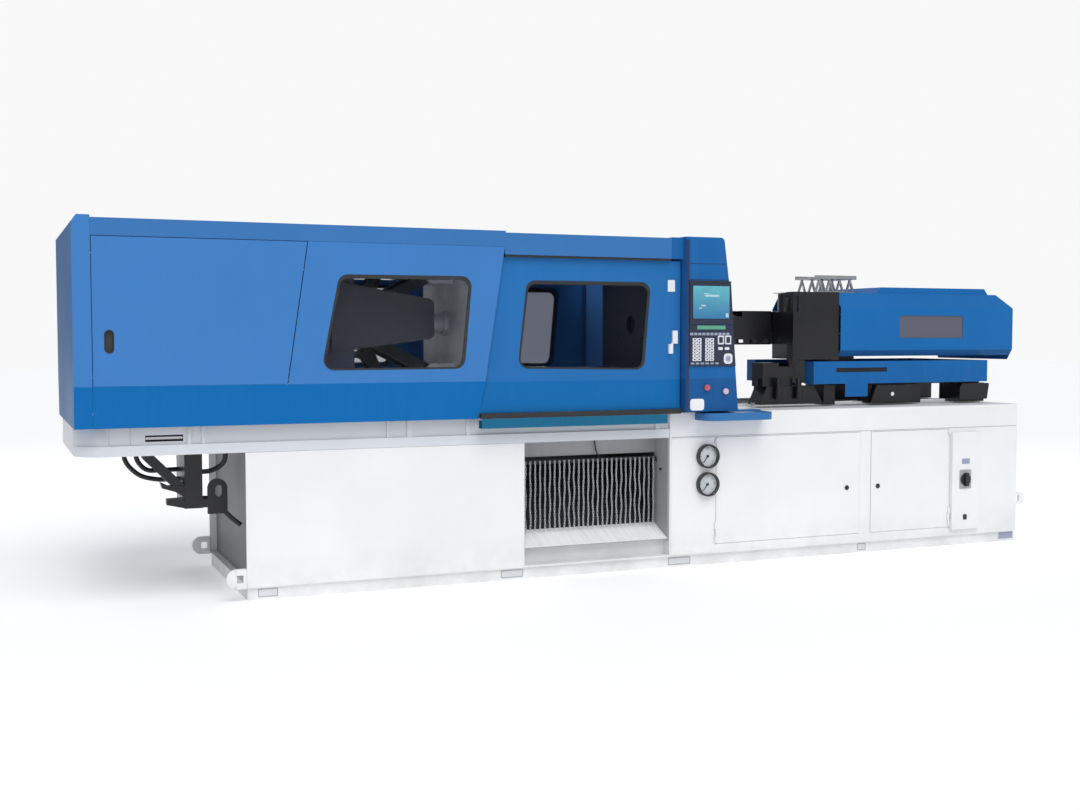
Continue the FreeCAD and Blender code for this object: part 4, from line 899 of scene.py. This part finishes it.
number_rows = [1.1600 - 0.0165 * k for k in range(7)]
white_columns = [0.3700, 0.3960, 0.4420, 0.4680]
plates_y("number_keys", "key_white", "root", key_grid(white_columns, number_rows, 0.0118, 0.0074))
marks = []
for x in white_columns:
    for z in number_rows:
        marks.append((x - 0.0050, x + 0.0045, z - 0.0030, z + 0.0035, 0.001, PANEL_NEAR - 0.0016, PANEL_FAR))
plates_y("number_key_marks", "panel_film", "root", marks)
plates_y("mode_keys", "key_grey", "root",
         key_grid([0.352 + 0.0232 * k for k in range(10)], [1.188], 0.0090, 0.0065)
         + key_grid([0.358, 0.386, 0.414, 0.442, 0.470, 0.498], [1.0410], 0.0100, 0.0045))
plates_y("boxed_keys", "key_white", "root",
         key_grid([0.520, 0.562], [1.1580], 0.0175, 0.0220) + key_grid([0.518, 0.556], [1.1150], 0.0130, 0.0070))
plates_y("boxed_key_marks", "panel_film", "root",
         key_grid([0.520, 0.562], [1.1580], 0.0110, 0.0150, PANEL_NEAR - 0.0016, 0.002))
plates_y("round_key", "key_white", "root",
         [(0.538, 0.588, 1.038, 1.090, 0.016, PANEL_NEAR - 0.0012, PANEL_FAR)])
plates_y("round_key_mark", "key_grey", "root",
         [(0.549, 0.577, 1.050, 1.078, 0.010, PANEL_NEAR - 0.0016, PANEL_FAR)])
print("keys:", len(number_rows) * len(white_columns))

# %% [markdown]
# ## Pressure gauges
# A card with ticks and a sheet of glass turn each case into a gauge. The ticks run
# over three quarters of a turn, as on most pressure gauges.

# %% Gauge cards and glasses
GAUGE_X, UPPER_GAUGE, LOWER_GAUGE, GAUGE_SIDES = 0.502, 0.565, 0.421, 64


def gauge_face(name, z):
    card = bmesh.new()
    lathe_y(card, GAUGE_X, z, [(0.0535, -0.5330), (0.0525, -0.5338), (0.0040, -0.5338), (0.0035, -0.5322),
                             (0.0535, -0.5322)], GAUGE_SIDES, True)
    finish_piece(name + "_card", card, "dial_white", "root", smooth=30)
    ticks = bmesh.new()
    for k in range(31):
        a = math.radians(225 - 270 * k / 30)
        long = k % 5 == 0
        r0, r1, half = (0.036 if long else 0.041), 0.047, (0.0011 if long else 0.0005)
        way, side = Vector((math.cos(a), math.sin(a))), Vector((-math.sin(a), math.cos(a)))
        outline = [way * r + side * s for r, s in ((r0, -half), (r1, -half), (r1, half), (r0, half))]
        slab_y(ticks, [(GAUGE_X + p.x, z + p.y) for p in outline], -0.5342, -0.5337)
    finish_piece(name + "_ticks", ticks, "black_plastic", "root")
    rim = bmesh.new()
    lathe_y(rim, GAUGE_X, z, [(0.0615, -0.5440), (0.0615, -0.5520), (0.0590, -0.5545), (0.0545, -0.5545),
                            (0.0530, -0.5530), (0.0530, -0.5510), (0.0560, -0.5440)], GAUGE_SIDES, True)
    finish_piece(name + "_bezel", rim, "black_plastic", "root", smooth=35)
    glass = bmesh.new()
    lathe_y(glass, GAUGE_X, z, [(0.0520, -0.5495), (0.0520, -0.5512),
                            (0.0300, -0.5518), (0.0290, -0.5504)], GAUGE_SIDES)
    finish_piece(name + "_glass", glass, "window_clear", "root", smooth=30)


gauge_face("upper_gauge", UPPER_GAUGE)
gauge_face("lower_gauge", LOWER_GAUGE)
arc = bmesh.new()
for k in range(12):
    a, b = (math.radians(215 + 110 * (k + i) / 12) for i in (0.0, 0.92))
    ring = [(0.076, a), (0.079, a), (0.079, b), (0.076, b)]
    slab_y(arc, [(GAUGE_X + r * math.cos(t), LOWER_GAUGE + r * math.sin(t)) for r, t in ring],
           -BASE_FACE - 0.0006, -BASE_FACE + 0.0001)
finish_piece("gauge_pitch_mark", arc, "line_grey", "root")
print("gauge faces: 2")

# %% [markdown]
# ## Cabinets and skid
# Quarter-turn latches close the doors. The skid carries blank plates over its
# jacking pockets.

# %% Latches, lock and door lines
for name, body, x in (("left_door_latch", "left_door", 1.373), ("right_door_latch", "right_door", 1.577)):
    mesh = bmesh.new()
    lathe_y(mesh, x, 0.362, [(0.0130, -0.5218), (0.0130, -0.5250), (0.0115, -0.5265), (0.0040, -0.5270)], 40)
    slab_y(mesh, rounded_box_outline(x - 0.0105, x + 0.0105, 0.3595, 0.3645, 0.002), -0.5300, -0.5262)
    finish_piece(name, mesh, "black_plastic", body, 0.0004)
for name, finish, slot, x0, x1, z0, z1, radius, stands_out in (
        ("isolator_lock", "black_plastic", "gauge_black", 2.148, 2.174, 0.148, 0.178, 0.006, 0.0025),
        ("isolator_plate", "line_grey", "base_enamel", 2.118, 2.202, 0.322, 0.430, 0.006, 0.0010),
        ("isolator_rating_plate", "key_grey", "base_enamel", 2.135, 2.190, 0.462, 0.492, 0.004, 0.0010)):
    plates_y(name, finish, "root",
             [(x0, x1, z0, z1, radius, -BOX_FACE - stands_out, -BOX_FACE + 0.0002)])
SKID_POCKETS = ((-1.784, -1.694), (-0.619, -0.504), (0.294, 0.423), (1.462, 1.518))
# A grey ring round each blank plate paints the shadow line at its edge.
pocket_shadow_rings = bmesh.new()
for x0, x1 in SKID_POCKETS:
    ring_y(pocket_shadow_rings, rounded_box_outline(x0, x1, 0.012, 0.050, 0.003),
           rounded_box_outline(x0 + 0.004, x1 - 0.004, 0.016, 0.046, 0.002), -SKID_FACE - 0.0012, -SKID_FACE + 0.0002)
finish_piece("skid_pocket_shadow_rings", pocket_shadow_rings, "line_grey", "root")
plates_y("skid_pocket_plates", "line_pale", "root",
         [(x0 + 0.005, x1 - 0.005, 0.017, 0.045, 0.002, -SKID_FACE - 0.0006, -SKID_FACE + 0.0002)
          for x0, x1 in SKID_POCKETS])
# A thin grey strip paints the shadow line under the base's top band.
plates_y("fascia_shadow_line", "line_grey", "root",
         [(0.300, 2.545, 0.6640, 0.6670, 0.001, -BASE_FACE - 0.0010, -BASE_FACE + 0.0004)])
plates_y("skid_end_plate", "key_grey", "root",
         [(2.445, 2.548, 0.014, 0.052, 0.003, -SKID_FACE - 0.0008, -SKID_FACE + 0.0004)])
plates_y("bed_joint_lines", "line_grey", "root",
         [(x, x + 0.0022, 0.712, 0.786, 0.0008, -WEB_FACE - 0.0008, -WEB_FACE + 0.0004) for x in (-2.408, -2.322)])
print("cabinet trim: 9")

# %% [markdown]
# ## The bed slot
# A ground bar shows in the slot of the bed's web, against black plates that paint the shade inside the slot.

# %% Bed slot
for side, sign in (("front", -1), ("rear", 1)):
    # Black plates above and below the bar paint the shade inside the slot.
    plates_y(side + "_slot_shade_plate", "slot_shadow", "root",
             [(-2.268, -2.091, 0.716, 0.7495, 0.004, *sorted((sign * 0.4960, sign * 0.4930))),
              (-2.268, -2.091, 0.7690, 0.7850, 0.004, *sorted((sign * 0.4960, sign * 0.4930)))])
    plates_y(side + "_slot_bar", "machined_steel", "root",
             [(-2.258, -2.101, 0.7330, 0.7450, 0.005, *sorted((sign * 0.5030, sign * 0.4962)))], 0.001)
print("bed slot pieces: 4")

# %% [markdown]
# ## The injection unit's window and slots
# The cover has a tinted pane on each side. A black sheet behind the skirt's long slot
# paints the shade inside it.

# %% Panes and slot backing
cover_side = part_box("injection_cover")[1].y
for side, sign in (("front", -1), ("rear", 1)):
    face = cover_side * sign
    plates_y(side + "_cover_pane", "window_cover", "carriage",
             [(1.846, 2.313, 1.156, 1.302, 0.010, *sorted((face - sign * 0.0034, face - sign * 0.0064)))])
    plates_y(side + "_cover_gasket", "black_rubber", "carriage",
             [(1.842, 2.317, z0, z1, 0.001, *sorted((face - sign * 0.0030, face - sign * 0.0090)))
              for z0, z1 in ((1.152, 1.1575), (1.3005, 1.306))])
    # A black sheet behind the slot paints the shade inside it.
    plates_y(side + "_slot_shade_sheet", "slot_shadow", "carriage",
             [(1.420, 1.778, 0.970, 1.010, 0.004, *sorted((face - sign * 0.0034, face - sign * 0.0074)))])
dot = bmesh.new()
lathe_y(dot, 1.812, 0.852, [(0.0110, -0.3376), (0.0110, -0.3392), (0.0080, -0.3398), (0.0020, -0.3398)], 32)
finish_piece("foot_mark", dot, "white_plastic", "carriage", smooth=30)
print("cover pieces: 7")

# %% [markdown]
# ## Small wire parts in the chute
# A hook wire keeps the rod up in the middle, and a pin shows in the side wall.

# %% Hook wire and wall pin
round_rod("rod_hook_wire", [(-0.062, -0.376, 0.655), (-0.060, -0.380, 0.610), (-0.050, -0.388, 0.580),
                            (-0.044, -0.398, 0.562), (-0.050, -0.402, 0.552)],
          0.0035, "black_plastic", "root")
round_rod("wall_pin", [(0.2845, -0.440, 0.500), (0.2790, -0.440, 0.500), (0.2740, -0.440, 0.497)], 0.006,
          "black_plastic", "root")
print("chute wires: 2")

# %% [markdown]
# ## Floor
# A plain pale floor catches the soft shadow under the machine.

# %% Floor
def floor_finish():
    material, tree, shader = start_finish("studio_floor_paint")
    skin = use_group(tree, SPRAYED_SKIN, Peel_Scale=20.0, Drift_Scale=0.4)
    wire(tree, shader, "Base Color",
         blend_colour(tree, skin.outputs["Drift"], (0.975, 0.975, 0.98, 1), (0.99, 0.99, 0.995, 1)))
    shader.inputs["Roughness"].default_value = 0.8
    shader.inputs["Emission Color"].default_value = (1.0, 1.0, 1.0, 1)
    shader.inputs["Emission Strength"].default_value = 0.19
    return material


finishes["floor"] = floor_finish()
floor_mesh = bmesh.new()
bmesh.ops.create_grid(floor_mesh, x_segments=4, y_segments=4, size=40)
floor_data = bpy.data.meshes.new("studio_floor")
floor_mesh.to_mesh(floor_data)
floor_mesh.free()
floor = bpy.data.objects.new("studio_floor", floor_data)
bpy.context.scene.collection.objects.link(floor)
floor.data.materials.append(finishes["floor"])
print("floor laid")
